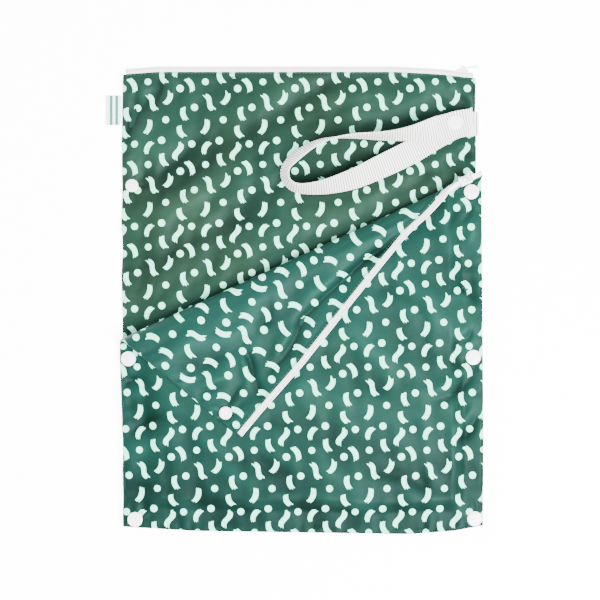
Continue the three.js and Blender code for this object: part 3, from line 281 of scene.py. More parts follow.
# Creases on the folded corner, whose back side shows
FLAP_CREASES = table("from to width height bow", [
    ((118, 89), (55, 36), 2.6, -2.2, 3),
    ((62, 42), (-2, -17), 4.2, -2.2, -2),
    ((112, 91), (64, 66), 2.2, -1.2, 0),
    ((100, 78), (30, 42), 4.0, 1.2, 2),
    ((0, -16), (-26, -58), 5.0, -2.0, 3),
    ((-46, -42), (-40, -64), 2.4, -1.8, 1),
    ((-40, -64), (-33, -80), 3.2, -1.4, 0),
    ((-51, -46), (-45, -68), 2.8, 1.2, 1),
    ((-28, 0), (-36, -22), 5.0, -1.2, 2),
    ((-107, -50), (-44, -30), 7.0, -1.0, -6),
    ((-100, -34), (-40, -18), 8.0, 0.9, -4),
    ((-86, -77), (-65, -68), 3.2, -1.3, 1),
    ((-82, -70), (-60, -62), 3.4, 1.0, 1),
    ((-60, -84), (-52, -70), 3.0, -1.0, 1),
    ((-22, -44), (-6, -22), 4.0, 1.2, 1),
    ((30, 20), (2, 6), 6.0, 0.9, 0),
])

# One repeat of the print, as shares of its width and height: kind of motif, lean
# from upright in degrees, and length in millimetres
PRINT_WIDTH = 48.0
PRINT_HEIGHT = 69.0
PRINT = table("kind across up lean length", [
    ("dot", 0.07, 0.91, 0, 5.8),
    ("dot", 0.55, 0.95, 0, 6.1),
    ("dot", 0.31, 0.66, 0, 5.6),
    ("dot", 0.87, 0.58, 0, 6.1),
    ("dot", 0.12, 0.35, 0, 5.9),
    ("dot", 0.62, 0.2, 0, 5.7),
    ("bend", 0.3, 0.87, -27, 10.5),
    ("wave", 0.83, 0.82, -22, 14.5),
    ("bend", 0.56, 0.71, 20, 10.0),
    ("arch", 0.06, 0.63, 27, 11.5),
    ("wave", 0.38, 0.41, 29, 14.0),
    ("arch", 0.68, 0.45, -28, 10.5),
    ("bend", 0.92, 0.27, 12, 10.5),
    ("arch", 0.33, 0.11, -19, 11.5),
    ("bend", 0.87, 0.05, 25, 9.5),
])
STROKE_WIDTH = 4.4

# Where the cut of each wall starts in the print, across and up
BIG_BACK_SHIFT = (13, 20)
SMALL_FRONT_SHIFT = (9, 31)
SMALL_BACK_SHIFT = (4, 12)

# Height from the deepest valley to the highest crest that the cloth's painted shade tells apart
DEPTH_RANGE = 5.0

# Colours as display values
GREEN = (0.056, 0.181, 0.157)
GREEN_DARK = (0.046, 0.164, 0.142)
GREEN_OLIVE = (0.091, 0.158, 0.118)
MINT = (0.57, 0.91, 0.79)
WHITE_CLOTH = (0.95, 0.945, 0.94)
WHITE_PLASTIC = (0.965, 0.962, 0.96)
THREAD_GREEN = (0.1, 0.25, 0.2)
TEAL = (0.02, 0.44, 0.39)
RIB_GROOVE_SHADE = (0.3, 0.285, 0.285)
LABEL_WHITE = (0.97, 0.97, 0.965)
COIL_WHITE = (0.93, 0.928, 0.92)


def ease(low, high, x):
    """Smooth step from 0 at low to 1 at high, which may be the smaller one."""
    t = np.clip((np.asarray(x, float) - low) / (high - low), 0, 1)
    return t * t * (3 - 2 * t)


def lookup(rows, key, column, at):
    """A column of a table at places between its rows."""
    return np.interp(at, [row[key] for row in rows], [row[column] for row in rows])


def linear(colour, share=1.0):
    """Display colour, scaled, to the linear values that a shader takes, with alpha."""
    shown = [min(c * share, 1) for c in colour]
    return (*[c / 12.92 if c <= 0.04045 else ((c + 0.055) / 1.055) ** 2.4 for c in shown], 1)


def unit(vectors):
    """The vectors at length 1."""
    return vectors / np.linalg.norm(vectors, axis=-1, keepdims=True)


def run_along(points):
    """Distance along a line of points, from its first one."""
    return np.concatenate([[0], np.cumsum(np.linalg.norm(np.diff(points, axis=0), axis=1))])


def sample(values, run, places):
    """Vectors known at the distances run, read off at other places."""
    return np.stack([np.interp(places, run, values[:, k]) for k in range(3)], -1)


RIPPLE_WAVES = 7


def ripple(x, y, wavelength, seed, lean=0, spread=180):
    """Smooth seeded waviness between about -1 and 1; lean turns its crests."""
    random = np.random.default_rng(seed)
    total = np.zeros(np.broadcast(x, y).shape)
    for _ in range(RIPPLE_WAVES):
        turn = math.radians(lean + random.uniform(-spread, spread) / 2 + 90)
        rate = 2 * math.pi / (wavelength * random.uniform(0.7, 1.5))
        phase = random.uniform(0, 2 * math.pi)
        total = total + np.sin((x * math.cos(turn) + y * math.sin(turn)) * rate + phase)
    return total / math.sqrt(RIPPLE_WAVES)


def creases(rows, x, y):
    """Height of every crease of a table at the points x, y."""
    total = np.zeros(x.shape)
    for row in rows:
        start, end = np.array(row["from"], float), np.array(row["to"], float)
        length = np.linalg.norm(end - start)
        along = (end - start) / length
        t = ((x - start[0]) * along[0] + (y - start[1]) * along[1]) / length
        beside = -(x - start[0]) * along[1] + (y - start[1]) * along[0]
        beside = beside - row["bow"] * 4 * t * (1 - t)
        past = np.maximum(np.maximum(-t, t - 1), 0) * length
        distance = np.hypot(beside, past)
        taper = 0.35 + 0.65 * np.clip(4 * t * (1 - t), 0, 1) ** 0.5
        total = total + row["height"] * taper * np.exp(-((np.abs(distance) / row["width"]) ** 1.7))
    return total


def puckers(x, y, centres, reach, height, seed):
    """Short pleats that run out from each snap, where it pinches the cloth."""
    total = np.zeros(x.shape)
    random = np.random.default_rng(seed)
    for cx, cy in centres:
        radius = np.hypot(x - cx, y - cy)
        angle = np.arctan2(y - cy, x - cx)
        pleats = int(random.integers(5, 8))
        turn = random.uniform(0, 2 * math.pi)
        wave = np.cos(pleats * angle + turn) + 0.6 * np.cos((pleats + 2) * angle + 2 * turn)
        total = total + height * wave * np.exp(-(((radius - 8) / reach) ** 2)) * ease(3, 8, radius)
    return total


def edge_puckers(distance, along, seed):
    """Small gathers square to a sewn edge."""
    wave = ripple(along, along * 0, 11, seed, lean=90, spread=0)
    return 0.42 * wave * np.exp(-distance / 9) * ease(0.5, 3, distance)


def roll_edge(distance, radius=1.3):
    """Share of the thickness near an edge, so that the walls meet in a round."""
    t = np.clip(distance / radius, 0, 1)
    return np.sqrt(np.clip(1 - (1 - t) ** 2, 0, 1))


def seam_groove(distance):
    """Share of the thickness that a row of stitching leaves beside an edge."""
    return 1 - 0.16 * np.exp(-(((distance - SEAM_INSET) / SEAM_WIDTH) ** 2))


def edge_stations(length, step):
    """Distances along a wall, close together at both of its sewn edges."""
    count = max(int((length - 2 * EDGE_DEPTH) / step), 2)
    middle = [EDGE_DEPTH + (length - 2 * EDGE_DEPTH) * k / count for k in range(1, count)]
    return np.array(EDGE_STEPS + middle + [length - d for d in reversed(EDGE_STEPS)])


# Mesh making

def add_piece(name, mesh, material, node=None):
    """A piece on the bag's body, in place of a node of the frame where one is named."""
    piece = bpy.data.objects.new(name, mesh)
    bpy.context.scene.collection.objects.link(piece)
    piece.data.materials.append(material)
    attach(piece, "bag")
    if node:
        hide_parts(node)


def mesh_from(name, points, faces, corner_uv=None):
    """A smooth mesh in metres from points in millimetres, its faces turned outwards."""
    mesh = bpy.data.meshes.new(name)
    mesh.from_pydata((np.asarray(points, float) * MM).tolist(), [], faces)
    if corner_uv is not None:
        layer = mesh.uv_layers.new(name="cloth")
        layer.data.foreach_set("uv", np.asarray(corner_uv, np.float32).ravel())
    edit_mesh(mesh, lambda edit: bmesh.ops.recalc_face_normals(edit, faces=edit.faces))
    return mesh


def edit_mesh(mesh, change):
    """Change a mesh through bmesh, and keep it smooth."""
    edit = bmesh.new()
    edit.from_mesh(mesh)
    change(edit)
    edit.to_mesh(mesh)
    edit.free()
    mesh.polygons.foreach_set("use_smooth", [True] * len(mesh.polygons))
    mesh.update()


def cell_corners(grid):
    """What a grid holds at the four corners of each cell, in order around it."""
    return np.stack([grid[:-1, :-1], grid[:-1, 1:], grid[1:, 1:], grid[1:, :-1]], 2)


def cloth_uv(x, y):
    """Place on the cloth for its print, in metres."""
    return np.stack([x, y], -1) * MM


def set_depth(mesh, front, back):
    """Keep how high the walls' points lie in their folds, for the painted shade in the cloth's colour."""
    heights = np.concatenate([front.ravel(), back[1:, 1:-1].ravel()])
    values = np.full(len(mesh.vertices), 0.5, np.float32)
    values[:len(heights)] = np.clip(0.5 + heights / DEPTH_RANGE, 0, 1)
    mesh.attributes.new("depth", "FLOAT", "POINT").data.foreach_set("value", values)


def pouch_mesh(name, front, back, front_uv, back_uv, rim_front, rim_back):
    """Two walls that share their sides and bottom row, open at the last row, where
    rim rows of each wall turn inside and meet each other below the mouth."""
    closing = (rim_front[-1] + rim_back[-1]) / 2
    rim_front, rim_back = np.array(rim_front + [closing]), np.array(rim_back + [closing])
    depth = len(rim_front)
    parts = (front, back[1:, 1:-1], rim_front, rim_back[:-1, 1:-1])
    points = [part.reshape(-1, 3) for part in parts]
    starts = np.cumsum([0] + [len(part) for part in points])
    front_index, back_inner, front_rim, back_rim_inner = (
        start + np.arange(part[..., 0].size).reshape(part.shape[:2])
        for start, part in zip(starts, parts)
    )
    back_index = front_index.copy()
    back_index[1:, 1:-1] = back_inner
    back_rim = front_rim.copy()
    back_rim[:-1, 1:-1] = back_rim_inner
    sheets = (
        (front_index, front_uv),
        (back_index[::-1], back_uv[::-1]),
        (np.vstack([front_index[-1:], front_rim]), np.repeat(front_uv[-1:], depth + 1, 0)),
        (np.vstack([back_index[-1:], back_rim])[::-1], np.repeat(back_uv[-1:], depth + 1, 0)),
    )
    faces = np.concatenate([cell_corners(index).reshape(-1, 4) for index, _ in sheets])
    corners = np.concatenate([cell_corners(uv).reshape(-1, 4, 2) for _, uv in sheets])
    keep = np.array([len(set(face)) == 4 for face in faces.tolist()])
    return mesh_from(name, np.concatenate(points), faces[keep].tolist(), corners[keep])


# Big pouch

def big_side(side, up):
    """Place of a side of the big pouch: side is -1 for the left and 1 for the right."""
    shift = lookup(BIG_SIDES, "up", "left" if side < 0 else "right", up) * BIG_WIDTH
    return (BIG_LEFT if side < 0 else BIG_LEFT + BIG_WIDTH) + shift


def big_bottom(x):
    return BIG_BOTTOM - lookup(BOTTOM_SAG, "across", "drop", (x - BIG_LEFT) / BIG_WIDTH) * BIG_LENGTH


def big_mouth(x):
    return BIG_MOUTH - lookup(MOUTH_DIP, "across", "drop", (x - BIG_LEFT) / BIG_WIDTH) * BIG_LENGTH


def margin_rise(distance):
    """How far the cloth has risen from a flat sewn margin."""
    return ease(MARGIN_FLAT, MARGIN_FLAT + MARGIN_RISE, distance)


def big_fullness(x, y):
    """0 at the sewn margins, 1 where the big pouch has its whole loft."""
    up = (y - BIG_BOTTOM) / BIG_LENGTH
    sides = margin_rise(x - big_side(-1, up)) * margin_rise(big_side(1, up) - x)
    full = sides * margin_rise(y - big_bottom(x))
    return np.maximum(full, ease(2 * MARGIN_RISE, MARGIN_RISE, big_mouth(x) - y))


def big_top(x, y):
    return BIG_MARGIN_TOP + (BIG_LOFT - BIG_MARGIN_TOP) * big_fullness(x, y)


# Fold of the small pouch in plan
APEX = np.array([SMALL_LEFT + FOLD_APEX_ACROSS * SMALL_WIDTH, SMALL_BOTTOM + FOLD_APEX_UP * SMALL_LENGTH])
FOLD_LEFT = np.array([SMALL_LEFT, SMALL_BOTTOM + FOLD_LEFT_UP * SMALL_LENGTH])
ALONG = (FOLD_LEFT - APEX) / np.linalg.norm(FOLD_LEFT - APEX)
ACROSS = np.array([ALONG[1], -ALONG[0]])
FOLD_LENGTH = np.linalg.norm(FOLD_LEFT - APEX)
SLOPE = abs(ALONG[1] / ALONG[0])
FLAP_SHARE = SLOPE / (1 + SLOPE * SLOPE)
SMALL_RIGHT = SMALL_LEFT + SMALL_WIDTH


def above_fold(x, y):
    """Distance above the edge of the small pouch, in plan."""
    line = (x - APEX[0]) * ACROSS[0] + (y - APEX[1]) * ACROSS[1]
    return np.where(x > APEX[0], y - APEX[1] - MOUTH_PAST_APEX, line)


def snap_centres(*names):
    """Middles in plan of nodes of the frame, in millimetres."""
    centres = []
    for name in names:
        points = np.array([v.co[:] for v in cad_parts[name].data.vertices]) / MM
        centres.append((points[:, 0].mean(), points[:, 1].mean()))
    return centres


def big_relief(x, y):
    """Creases, soft waves and gathers of the big pouch's front, where it lies bare."""
    up = (y - BIG_BOTTOM) / BIG_LENGTH
    bare = ease(4, 16, above_fold(x, y)) * ease(0, 7, big_mouth(x) - y)
    inside = ease(0, 10, x - big_side(-1, up)) * ease(0, 8, big_side(1, up) - x)
    soft = 0.95 * ripple(x, y, 62, 11, lean=48, spread=50) + 0.45 * ripple(x, y, 27, 12, lean=52, spread=70)
    soft = soft + 0.16 * ripple(x, y, 13, 13, lean=50, spread=120)
    height = BIG_CREASE_GAIN * creases(BIG_CREASES, x, y) + soft
    height = height * (0.35 + 0.65 * inside)
    sides = np.minimum(x - big_side(-1, up), big_side(1, up) - x)
    height = height + edge_puckers(sides, y, 21) + edge_puckers(big_mouth(x) - y, x, 22)
    height = height + puckers(x, y, snap_centres("stud_top_left"), 9, 0.4, 5)
    under_strap = strap_cover(x, y)
    height = np.where(height > 0, height * (1 - under_strap), height)
    return height * bare


def big_pouch():
    """Both walls of the big pouch, as one fine mesh in place of its solid."""
    shares = edge_stations(BIG_WIDTH, BIG_COLUMN_STEP) / BIG_WIDTH
    rows = edge_stations(BIG_LENGTH, BIG_ROW_STEP) / BIG_LENGTH
    u, v = np.meshgrid(shares, rows)
    low = big_side(-1, v)
    x = low + u * (big_side(1, v) - low)
    y = big_bottom(x) + v * (big_mouth(x) - big_bottom(x))
    waver = 0.35 * ripple(y, y * 0, 46, 31, lean=90, spread=0)
    x = x + waver * (1 - ease(0, 25, u * BIG_WIDTH)) - waver * (1 - ease(0, 25, (1 - u) * BIG_WIDTH))
    sides = np.minimum(u, 1 - u) * BIG_WIDTH
    distance = np.minimum(sides, v * BIG_LENGTH)
    top = big_top(x, y)
    under = LIFT * (1 - big_fullness(x, y))
    middle = (top + under) / 2
    thin = roll_edge(distance) * seam_groove(distance)
    relief = big_relief(x, y)
    front = np.stack([x, y, middle + (top - middle) * thin + relief], -1)
    low_relief = 0.25 * ripple(x, y, 40, 41) * ease(0, 20, sides)
    bottom = np.maximum(middle - (middle - under) * thin + low_relief * ease(0.2, 1.6, under), 0.0)
    back = np.stack([x, y, bottom], -1)
    for wall in (front, back):
        wall[:, 0, 2] = middle[:, 0]
        wall[:, -1, 2] = middle[:, -1]
        wall[0, :, 2] = middle[0, :]
    front_uv = cloth_uv(x, y)
    back_uv = cloth_uv(-x + BIG_BACK_SHIFT[0], y + BIG_BACK_SHIFT[1])
    rim_front, rim_back = [], []
    for depth in BIG_RIM_DEPTHS:
        inset = RIM_INSET if depth else RIM_START
        drop = depth - (0 if depth else RIM_START)
        for wall, way, rim in ((front, -1, rim_front), (back, 1, rim_back)):
            row = wall[-1].copy()
            row[:, 1] -= drop
            row[:, 2] += way * inset * roll_edge(sides[-1])
            rim.append(row)
    mesh = pouch_mesh("big_pouch", front, back, front_uv, back_uv, rim_front, rim_back)
    # The front's folds become painted shade in the cloth's colour
    set_depth(mesh, relief, relief * 0)
    add_piece("big_pouch", mesh, cloth_material("big_pouch_cloth", 0.55, 0.4), "big_bag")


# Small pouch

class Columns:
    """The upright lines of the small pouch's cloth and how each one folds over."""

    def __init__(self, x):
        self.x = x
        self.t = (APEX[0] - x) / -ALONG[0]
        share = np.clip(self.t / FOLD_LENGTH, 0, 1)
        self.radius = FOLD_RADIUS_RIGHT + (FOLD_RADIUS_LEFT - FOLD_RADIUS_RIGHT) * share
        past = np.maximum(self.t, 0)
        zip_room = (TAPE_OUTSIDE + CHAIN_THICK + GAP) * ease(0, 2, past / TWIST_LENGTH)
        bow = lookup(FLAP_BOW, "along", "drop", share) * SMALL_LENGTH
        whole = FLAP_SHARE * past + (math.pi - 1) * self.radius - HALF_PINCHED - zip_room + bow
        turned = ease(TWIST_START, TWIST_END, self.t)
        self.path = MOUTH_TURN + (whole - MOUTH_TURN) * turned
        w = -(self.radius + HALF_PINCHED)
        t = self.t - SLOPE * w
        self.pivot_w = w
        self.pivot_y = APEX[1] + ALONG[1] * t + ACROSS[1] * w


def small_side(side, up):
    shift = lookup(SMALL_SIDES, "up", "left" if side < 0 else "right", up) * SMALL_WIDTH
    return (SMALL_LEFT if side < 0 else SMALL_RIGHT) + shift


def small_bottom(x):
    return SMALL_BOTTOM - lookup(BOTTOM_SAG, "across", "drop", (x - SMALL_LEFT) / SMALL_WIDTH) * BIG_LENGTH


# The cloth bulges where the mouth starts to turn over
NECK_MIDDLE = APEX[0] + 5.0
NECK_RISE = 2.0
NECK_WIDTH = 5.5


def body_half(columns, y, s):
    """Half thickness of the small pouch, thinner at its margins and at the fold."""
    up = (y - SMALL_BOTTOM) / SMALL_LENGTH
    sides = margin_rise(columns.x - small_side(-1, up)) * margin_rise(small_side(1, up) - columns.x)
    before = np.maximum(columns.pivot_y - y, 0)
    full = sides * margin_rise(y - small_bottom(columns.x)) * ease(0, FOLD_THINNING, before)
    half = HALF_PINCHED + (SMALL_LOFT / 2 - HALF_PINCHED) * full
    neck = NECK_RISE * np.exp(-(((columns.x - NECK_MIDDLE) / NECK_WIDTH) ** 2))
    neck = neck * ease(40, 4, before + 3 * s)
    half = half + neck * ease(FOLD_THINNING + 10, 0, before)
    to_mouth = columns.path - s + before
    hem = ease(HEM, 0.6, to_mouth)
    return np.maximum(half, HALF_PINCHED + (MOUTH_HALF - HALF_PINCHED) * hem)


def small_frame(columns, y, s):
    """Middle surface of the small pouch, its front normal and half thickness.
    y counts below the fold, and s is the length of cloth past the fold's start."""
    half = body_half(columns, y, s)
    pivot_half = body_half(columns, columns.pivot_y, s * 0)
    up = (y - SMALL_BOTTOM) / SMALL_LENGTH
    share = (columns.x - SMALL_LEFT) / SMALL_WIDTH
    low = small_side(-1, up)
    flat_x = low + share * (small_side(1, up) - low)
    r = columns.radius
    angle = np.minimum(s / r, math.pi)
    flat = np.maximum(s - math.pi * r, 0)
    w = columns.pivot_w + r * np.sin(angle) - flat
    t = columns.t - SLOPE * (columns.pivot_w + s)
    thicker = (half - pivot_half) * np.maximum(np.cos(angle), 0)
    z = SMALL_BASE + pivot_half + thicker + r - r * np.cos(angle)
    flat_length = np.maximum(columns.path - math.pi * r - 2.1, 1e-6)
    along = np.clip(flat / flat_length, 0, 1)
    settled = np.clip(flat_length / SETTLE_LENGTH, 0, 1) * (flat > 0)
    valley = settled * ease(0.75, 0.55, columns.t / FOLD_LENGTH)
    dip = lookup(FLAP_RELIEF, "along", "dip", along) * SMALL_LOFT * valley
    z = z + (FLAP_LEVEL - z) * (1 - lookup(FLAP_RELIEF, "along", "blend", along)) * settled + dip
    turned_x = APEX[0] + ALONG[0] * t + ACROSS[0] * w
    turned_y = APEX[1] + ALONG[1] * t + ACROSS[1] * w
    z = z + flap_lift(turned_x, turned_y, flat)
    past = s > 0
    middle = np.stack([
        np.where(past, turned_x, flat_x),
        np.where(past, turned_y, y),
        np.where(past, z, SMALL_BASE + half),
    ], -1)
    sine, cosine = np.sin(angle), np.cos(angle)
    normal = np.stack([-ACROSS[0] * sine, -ACROSS[1] * sine, cosine], -1)
    return middle, normal, half


def flap_lift(x, y, flat):
    """Creases of the folded corner, and how it sinks onto the cloth below it."""
    snap_x, snap_y = snap_centres("cap_top_left")[0]
    from_snap = np.hypot(x - snap_x, y - snap_y)
    sink = -SINK * (1 - np.exp(-((from_snap / SINK_REACH) ** 2)))
    return flap_folds(x, y) * ease(0, 12, flat) + sink * ease(4, 22, flat)


def flap_folds(x, y):
    """Creases and waves of the folded corner's back side, which shows."""
    height = FLAP_CREASE_GAIN * creases(FLAP_CREASES, x, y)
    height = height + 0.7 * ripple(x, y, 46, 14, lean=35, spread=70) + 0.3 * ripple(x, y, 20, 15)
    return height + puckers(x, y, snap_centres("cap_top_left"), 8, 0.35, 8)


def beside_zip(x, y):
    """Distance in plan from the folded corner's zip, to its lower right."""
    turn = 2 * math.atan(SLOPE)
    return (x - APEX[0]) * math.sin(turn) - (y - APEX[1]) * math.cos(turn)


def below_flap(x, y):
    """1 where the lower front is bare, 0 under the folded corner."""
    turn = 2 * math.atan(SLOPE)
    side = (x - FOLD_LEFT[0]) * math.cos(turn) + (y - FOLD_LEFT[1]) * math.sin(turn)
    return np.maximum(ease(4, 16, beside_zip(x, y)), ease(2, 12, -side))


def small_relief(x, y, before):
    """The like for the small pouch's front, where before is the distance to the fold."""
    soft = 0.7 * ripple(x, y, 58, 16, lean=-38, spread=60)
    soft = soft + 0.36 * ripple(x, y, 25, 17, lean=-42, spread=80)
    soft = soft + 0.15 * ripple(x, y, 13, 18, lean=-40, spread=120)
    height = SMALL_CREASE_GAIN * creases(SMALL_CREASES, x, y) + soft
    up = (y - SMALL_BOTTOM) / SMALL_LENGTH
    sides = np.minimum(x - small_side(-1, up), small_side(1, up) - x)
    height = height * (0.3 + 0.7 * ease(0, 10, sides)) * ease(0, 9, y - small_bottom(x))
    height = height + edge_puckers(sides, y, 23) + edge_puckers(y - small_bottom(x), x, 24)
    snaps = snap_centres(
        "cap_top_right", "cap_middle_left", "cap_middle_right", "cap_bottom_left", "cap_bottom_right",
    )
    height = height + puckers(x, y, snaps, 8, 0.4, 6)
    for cx, cy in snaps:
        height = height * ease(4.5, 8.5, np.hypot(x - cx, y - cy))
    return height * below_flap(x, y) * ease(0, 16, before)


def small_columns():
    """Upright mesh lines of the small pouch, closer together where its mouth turns."""
    twist = APEX[0] - TWIST_LENGTH - SMALL_LEFT
    near = np.arange(twist, SMALL_WIDTH - EDGE_DEPTH, TWIST_COLUMN_STEP)
    count = int((twist - EDGE_DEPTH) / SMALL_COLUMN_STEP)
    middle = [EDGE_DEPTH + (twist - EDGE_DEPTH) * k / count for k in range(1, count)]
    right = [SMALL_WIDTH - d for d in reversed(EDGE_STEPS)]
    return SMALL_LEFT + np.array(EDGE_STEPS + middle + list(near) + right)


def small_pouch():
    """Both walls of the small pouch with its folded corner, as one fine mesh."""
    x_line = small_columns()
    line = Columns(x_line)
    bottom = small_bottom(x_line)
    run = line.pivot_y - bottom
    lower = [np.full(x_line.shape, d) for d in EDGE_STEPS]
    lower += [EDGE_DEPTH + (run - EDGE_DEPTH) * k / BODY_ROWS for k in range(1, BODY_ROWS + 1)]
    arc = np.minimum(math.pi * line.radius, line.path * 0.45)
    upper = [arc * k / ARC_ROWS for k in range(1, ARC_ROWS + 1)]
    rest = line.path - arc
    hem = np.minimum(HEM, 0.6 * rest)
    upper += [arc + (rest - hem) * k / FLAP_ROWS for k in range(1, FLAP_ROWS + 1)]
    upper += [line.path - hem * share for share in (0.75, 0.5, 0.25, 0.0)]
    below = np.array(lower)
    past = np.array(upper)
    y = np.vstack([bottom + below, np.repeat(line.pivot_y[None], len(past), 0)])
    s = np.vstack([below * 0, past])
    grid = Columns(np.repeat(x_line[None], len(y), 0))
    middle, normal, half = small_frame(grid, y, s)
    side = np.minimum(grid.x - SMALL_LEFT, SMALL_RIGHT - grid.x)
    from_bottom = np.where(s > 0, FAR, y - small_bottom(grid.x))
    distance = np.minimum(side, from_bottom)
    thin = (roll_edge(distance) * seam_groove(distance))[..., None]
    front = middle + normal * half[..., None] * thin
    back = middle - normal * half[..., None] * thin
    before = np.maximum(grid.pivot_y - y, 0)
    relief = small_relief(front[..., 0], front[..., 1], before) * (s == 0) * roll_edge(distance, 3)
    front[..., 2] += relief
    shown = flap_side_relief(grid, s, side)
    back[..., 2] += shown
    for wall in (front, back):
        wall[:, 0] = middle[:, 0]
        wall[:, -1] = middle[:, -1]
        wall[0] = middle[0]
    cloth_y = np.where(s > 0, grid.pivot_y + s, y)
    front_uv = cloth_uv(grid.x + SMALL_FRONT_SHIFT[0], cloth_y + SMALL_FRONT_SHIFT[1])
    back_uv = cloth_uv(-grid.x + SMALL_BACK_SHIFT[0], cloth_y + SMALL_BACK_SHIFT[1])
    rim_front, rim_back = [], []
    for depth in SMALL_RIM_DEPTHS:
        inset = RIM_INSET if depth else RIM_START
        place = np.maximum(line.path - (depth - 0.3), 0.05)
        centre, way, open_half = small_frame(line, line.pivot_y, place)
        open_half = open_half - inset
        thin_line = roll_edge(side[-1])[:, None]
        rim_front.append(centre + way * open_half[:, None] * thin_line)
        rim_back.append(centre - way * open_half[:, None] * thin_line)
    mesh = pouch_mesh("small_pouch", front, back, front_uv, back_uv, rim_front, rim_back)
    turned = flap_folds(back[..., 0], back[..., 1]) * ease(0, 12, s - math.pi * grid.radius)
    dimmed = BOTTOM_DIMMING * ease(DIM_FROM, DIM_TO, y) * (s == 0)
    # The folds' heights, and the dimming towards the bottom, become painted shade in the cloth's colour
    set_depth(mesh, relief - dimmed, turned + shown)
    add_piece("small_pouch", mesh, cloth_material("small_pouch_cloth", 0.0, 0.12), "small_bag")


def flap_side_relief(columns, s, side):
    """Gathers along the folded corner's sewn edge and hem."""
    flat = np.maximum(s - math.pi * columns.radius, 0)
    to_mouth = columns.path - s
    height = edge_puckers(side, s, 25) + 0.6 * edge_puckers(to_mouth, columns.x, 26)
    return height * ease(0, 10, flat)


# Zips: frames along each mouth, with the place where the tapes leave the cloth

def zip_frames_big():
    left, right = big_side(-1, 1), big_side(1, 1)
    x = left + ZIP_INSET + np.linspace(0, 1, 150) * (right - left - 2 * ZIP_INSET)
    half = np.full(x.shape, BIG_LOFT / 2)
    middle = np.stack([x, big_mouth(x), half], -1)
    before = middle - np.array([0, TAPE_INSIDE, 0])
    outwards = np.tile([0.0, 1.0, 0.0], (len(x), 1))
    normal = np.tile([0.0, 0.0, 1.0], (len(x), 1))
    return {
        "middle": middle, "before": before, "outwards": outwards, "normal": normal,
        "before_normal": normal, "half": half, "roll": half * 0, "rise": BIG_ZIP_RISE,
    }


def zip_frames_small():
    span = np.concatenate([
        np.linspace(SMALL_LEFT + ZIP_INSET, APEX[0] - TWIST_LENGTH, 110, endpoint=False),
        np.linspace(APEX[0] - TWIST_LENGTH, SMALL_RIGHT - ZIP_INSET, 60),
    ])
    line = Columns(span)
    middle, normal, half = small_frame(line, line.pivot_y, line.path)
    before, before_normal, _ = small_frame(line, line.pivot_y, line.path - TAPE_INSIDE)
    angle = np.minimum(line.path / line.radius, math.pi)
    outwards = np.stack([
        ACROSS[0] * np.cos(angle) - ALONG[0] * SLOPE,
        ACROSS[1] * np.cos(angle) - ALONG[1] * SLOPE,
        np.sin(angle),
    ], -1)
    roll = lookup(ZIP_ROLL, "along", "roll", line.t)
    return {
        "middle": middle, "before": before, "outwards": unit(outwards), "normal": normal,
        "before_normal": before_normal, "half": half, "roll": roll, "rise": 0.0,
    }


# A rolled zip turns about a line this far out of the mouth, and further at full roll
ROLL_START = 0.8
ROLL_REACH = 1.7


def rolled(frames, out, side):
    """Points at a distance out of the mouth and to the side, the zip rolled up."""
    side = np.broadcast_to(np.asarray(side, float), frames["half"].shape)[:, None]
    if out < 0:
        return frames["before"] + frames["before_normal"] * side
    if out == 0:
        return frames["middle"] + frames["normal"] * side
    turn = np.radians(frames["roll"])[:, None]
    hinge = ROLL_START + ROLL_REACH * np.sin(turn)
    ahead = out - ROLL_START
    raised = side + frames["rise"]
    a = hinge + ahead * np.cos(turn) - raised * np.sin(turn)
    b = ahead * np.sin(turn) + raised * np.cos(turn)
    return frames["middle"] + frames["outwards"] * a + frames["normal"] * b


def ribbon(name, loops):
    """A closed strip from loops of points, one loop for each station along it."""
    loops = np.asarray(loops)
    stations, ring = loops.shape[:2]
    index = np.arange(stations * ring).reshape(stations, ring)
    following = np.roll(index, -1, 1)
    faces = np.stack([index[:-1], following[:-1], following[1:], index[1:]], -1).reshape(-1, 4).tolist()
    faces += [index[0].tolist()[::-1], index[-1].tolist()]
    run = run_along(loops.mean(1))
    uv = [(run[vertex // ring] * MM, vertex % ring / ring) for face in faces for vertex in face]
    return mesh_from(name, loops.reshape(-1, 3), faces, uv)


# How a zip tape crosses from the wall to the chain: distance out of the mouth, and
# share of the way across
TAPE_STATIONS = [
    (-TAPE_INSIDE, 0.0), (0.0, 0.0), (0.9, 0.3), (1.7, 0.62), (2.5, 0.9), (2.9, 1.0), (TAPE_OUTSIDE, 1.0),
]


def tape(prefix, frames, way, material):
    """One zip tape: it leaves the mouth's inside and bends to the chain."""
    inside = frames["half"] - CLOTH - GAP - TAPE_THICK / 2
    outer = CHAIN_WIDTH / 2 - TAPE_THICK / 2
    centre = [rolled(frames, out, way * (inside + (outer - inside) * mix)) for out, mix in TAPE_STATIONS]
    centre = np.array(centre)
    step = unit(np.gradient(centre, axis=0))
    face = np.cross(unit(np.gradient(centre, axis=1)), step)
    half = TAPE_THICK / 2 * 0.8
    tip = centre[-1:] + step[-1:] * 0.25
    loops = np.concatenate([centre + face * half, tip, (centre - face * half)[::-1]], 0).transpose(1, 0, 2)
    side = "front" if way > 0 else "back"
    node = f"{prefix}_zip_{side}_tape"
    add_piece(f"{prefix}_{side}_tape_woven", ribbon(node, loops), material, node)


